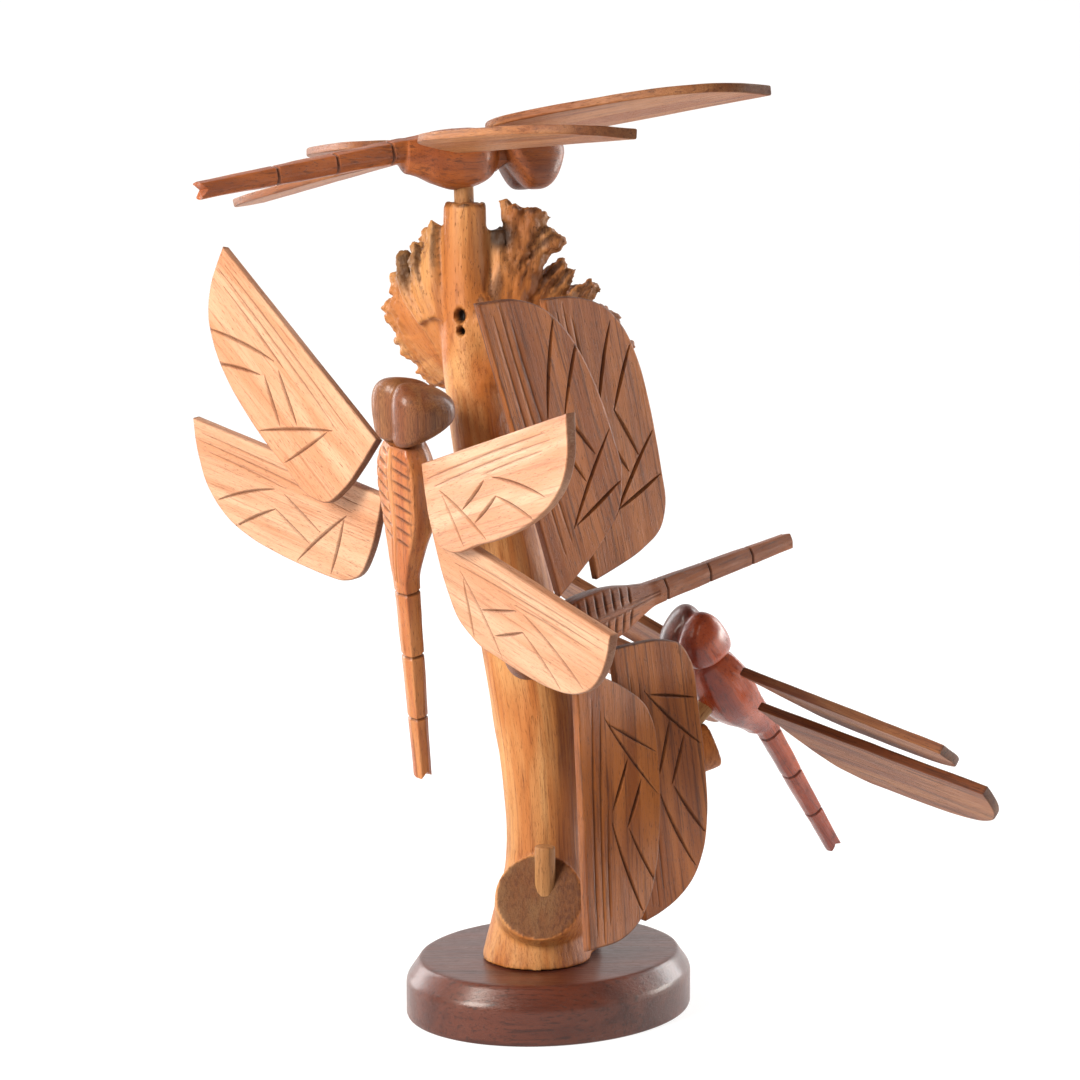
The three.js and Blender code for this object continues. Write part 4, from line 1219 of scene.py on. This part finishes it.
def dowel(node, low, high, radius, place, seed):
    """A peg along +Z with whittled sides and a rough end."""
    heights = np.concatenate([[low, low + 0.3], np.linspace(low + 0.9, high - 0.9, 14), [high - 0.3, high]])
    inset = np.ones(len(heights))
    inset[[0, -1]] = 1 - 0.5 / radius
    inset[[1, -2]] = 1 - 0.15 / radius
    turn = np.linspace(0, 2 * math.pi, 48, endpoint=False)
    rings = np.zeros((len(heights), len(turn), 3))
    rings[:, :, 0] = radius * inset[:, None] * np.cos(turn)
    rings[:, :, 1] = radius * inset[:, None] * np.sin(turn)
    rings[:, :, 2] = heights[:, None]
    flat = rings.reshape(-1, 3)
    scale = 1 + 0.03 * ripple(flat + seed * 9, (1.4, 1.4, 14), 81, 2) - 0.02
    flat[:, :2] *= scale[:, None]
    points, faces = loft(flat.reshape(rings.shape))
    grain = np.column_stack([points[:, 2], points[:, 0], points[:, 1]]) + seed * 17.0
    finish_piece(node, DOWEL_WOOD, points, faces, grain, place=place, crease=40)


def dragonflies():
    for number, fly in enumerate(DRAGONFLIES):
        turned = Matrix.Rotation(math.radians(fly["yaw"]), 4, "Z")
        turned = turned @ Matrix.Rotation(math.radians(-fly["rise"]), 4, "Y")
        turned = turned @ Matrix.Rotation(math.radians(fly["roll"]), 4, "X")
        place = Matrix.Translation(Vector(fly["at"])) @ turned
        dragonfly_body(fly, place)
        for index, key in enumerate(fly["wings"]):
            wing(fly, key, place, 1 + 4 * number + index)
        peg = fly["dowel"]
        peg_place = place @ Matrix.Translation((peg["x"], 0, 0))
        dowel(f"dowel_{fly['name']}", -peg["length"], DOWEL_TOP, DOWEL_RADIUS, peg_place, number)
    x, y = ROOT_STUB["at"]
    stub_place = Matrix.Translation(Vector((x, y, 0)))
    dowel("dowel_stub", ROOT_STUB["from"], ROOT_STUB["to"], ROOT_STUB["radius"], stub_place, 7)


# Camera, floor and light

# The sweep in metres: where the floor begins, where it stands upright behind, its bend, height and half width
FLOOR = {"front": -3.0, "back": 2.0, "bend": 0.9, "top": 3.0, "half_width": 4.0, "glow": 0.78}


# Light from all round, and the lamps, in metres and watts
SKY = {"colour": (1.0, 0.93, 0.85, 1.0), "strength": 0.3}
MIDDLE = (0, 0, 0.2)
WHITE = (1, 1, 1)
WARM = (1.0, 0.94, 0.86)
LAMPS = [
    {
        "name": "key", "at": (-0.9, -0.75, 0.75), "aim": MIDDLE, "size": (0.45, 0.6),
        "power": 31, "tint": WARM,
    },
    {
        "name": "low_right", "at": (1.1, 0.25, 0.12), "aim": (0.05, 0, 0.33), "size": (0.4, 0.4),
        "power": 9, "tint": WARM,
    },
    {
        "name": "rim_right", "at": (1.0, 0.7, 0.6), "aim": MIDDLE, "size": (0.5, 1.0),
        "power": 16, "tint": WHITE,
    },
    {
        "name": "rim_left", "at": (-0.9, 0.8, 0.5), "aim": MIDDLE, "size": (0.4, 1.0),
        "power": 10, "tint": WHITE,
    },
]


def camera():
    data = bpy.data.cameras.new("camera")
    data.lens = CAMERA_LENS
    data.sensor_width = CAMERA_SENSOR
    data.clip_end = 20
    made = bpy.data.objects.new("camera", data)
    made.location = Vector(CAMERA_AT) * MM
    made.rotation_euler = (math.radians(CAMERA_TILT), 0, 0)
    bpy.context.scene.collection.objects.link(made)
    bpy.context.scene.camera = made


def floor():
    """A pale sweep that runs from the floor up behind the carving and glows softly, as lit paper does."""
    shader = Shader("pale_floor")
    shader.surface.inputs["Base Color"].default_value = (0.3, 0.3, 0.3, 1.0)
    shader.surface.inputs["Roughness"].default_value = 0.8
    shader.surface.inputs["Specular IOR Level"].default_value = 0.1
    shader.surface.inputs["Emission Color"].default_value = (1.0, 1.0, 1.0, 1.0)
    shader.surface.inputs["Emission Strength"].default_value = FLOOR["glow"]
    bend = np.linspace(0, 0.5 * math.pi, 24)
    radius, back = FLOOR["bend"], FLOOR["back"]
    line = [(FLOOR["front"], 0.0)]
    line += [(back - radius + radius * math.sin(turn), radius - radius * math.cos(turn)) for turn in bend]
    line += [(back, FLOOR["top"])]
    half = FLOOR["half_width"]
    corners = [(side * half, y, z) for y, z in line for side in (-1, 1)]
    faces = [(2 * i, 2 * i + 1, 2 * i + 3, 2 * i + 2) for i in range(len(line) - 1)]
    mesh = bpy.data.meshes.new("floor")
    mesh.from_pydata(corners, [], faces, shade_flat=False)
    mesh.materials.append(shader.material)
    made = bpy.data.objects.new("floor", mesh)
    bpy.context.scene.collection.objects.link(made)


def lamp(name, at, aim, size, power, tint):
    data = bpy.data.lights.new(name, "AREA")
    data.shape = "RECTANGLE"
    data.size, data.size_y = size
    data.energy = power
    data.color = tint
    made = bpy.data.objects.new(name, data)
    made.location = at
    made.rotation_euler = (Vector(aim) - Vector(at)).to_track_quat("-Z", "Y").to_euler()
    bpy.context.scene.collection.objects.link(made)


def studio():
    world = bpy.data.worlds.new("studio")
    bpy.context.scene.world = world
    world.use_nodes = True
    background = world.node_tree.nodes["Background"]
    background.inputs["Color"].default_value = SKY["colour"]
    background.inputs["Strength"].default_value = SKY["strength"]
    for spec in LAMPS:
        lamp(**spec)
    bpy.context.scene.view_settings.view_transform = "Standard"


camera()
floor()
studio()
plinth()
branch()
dragonflies()
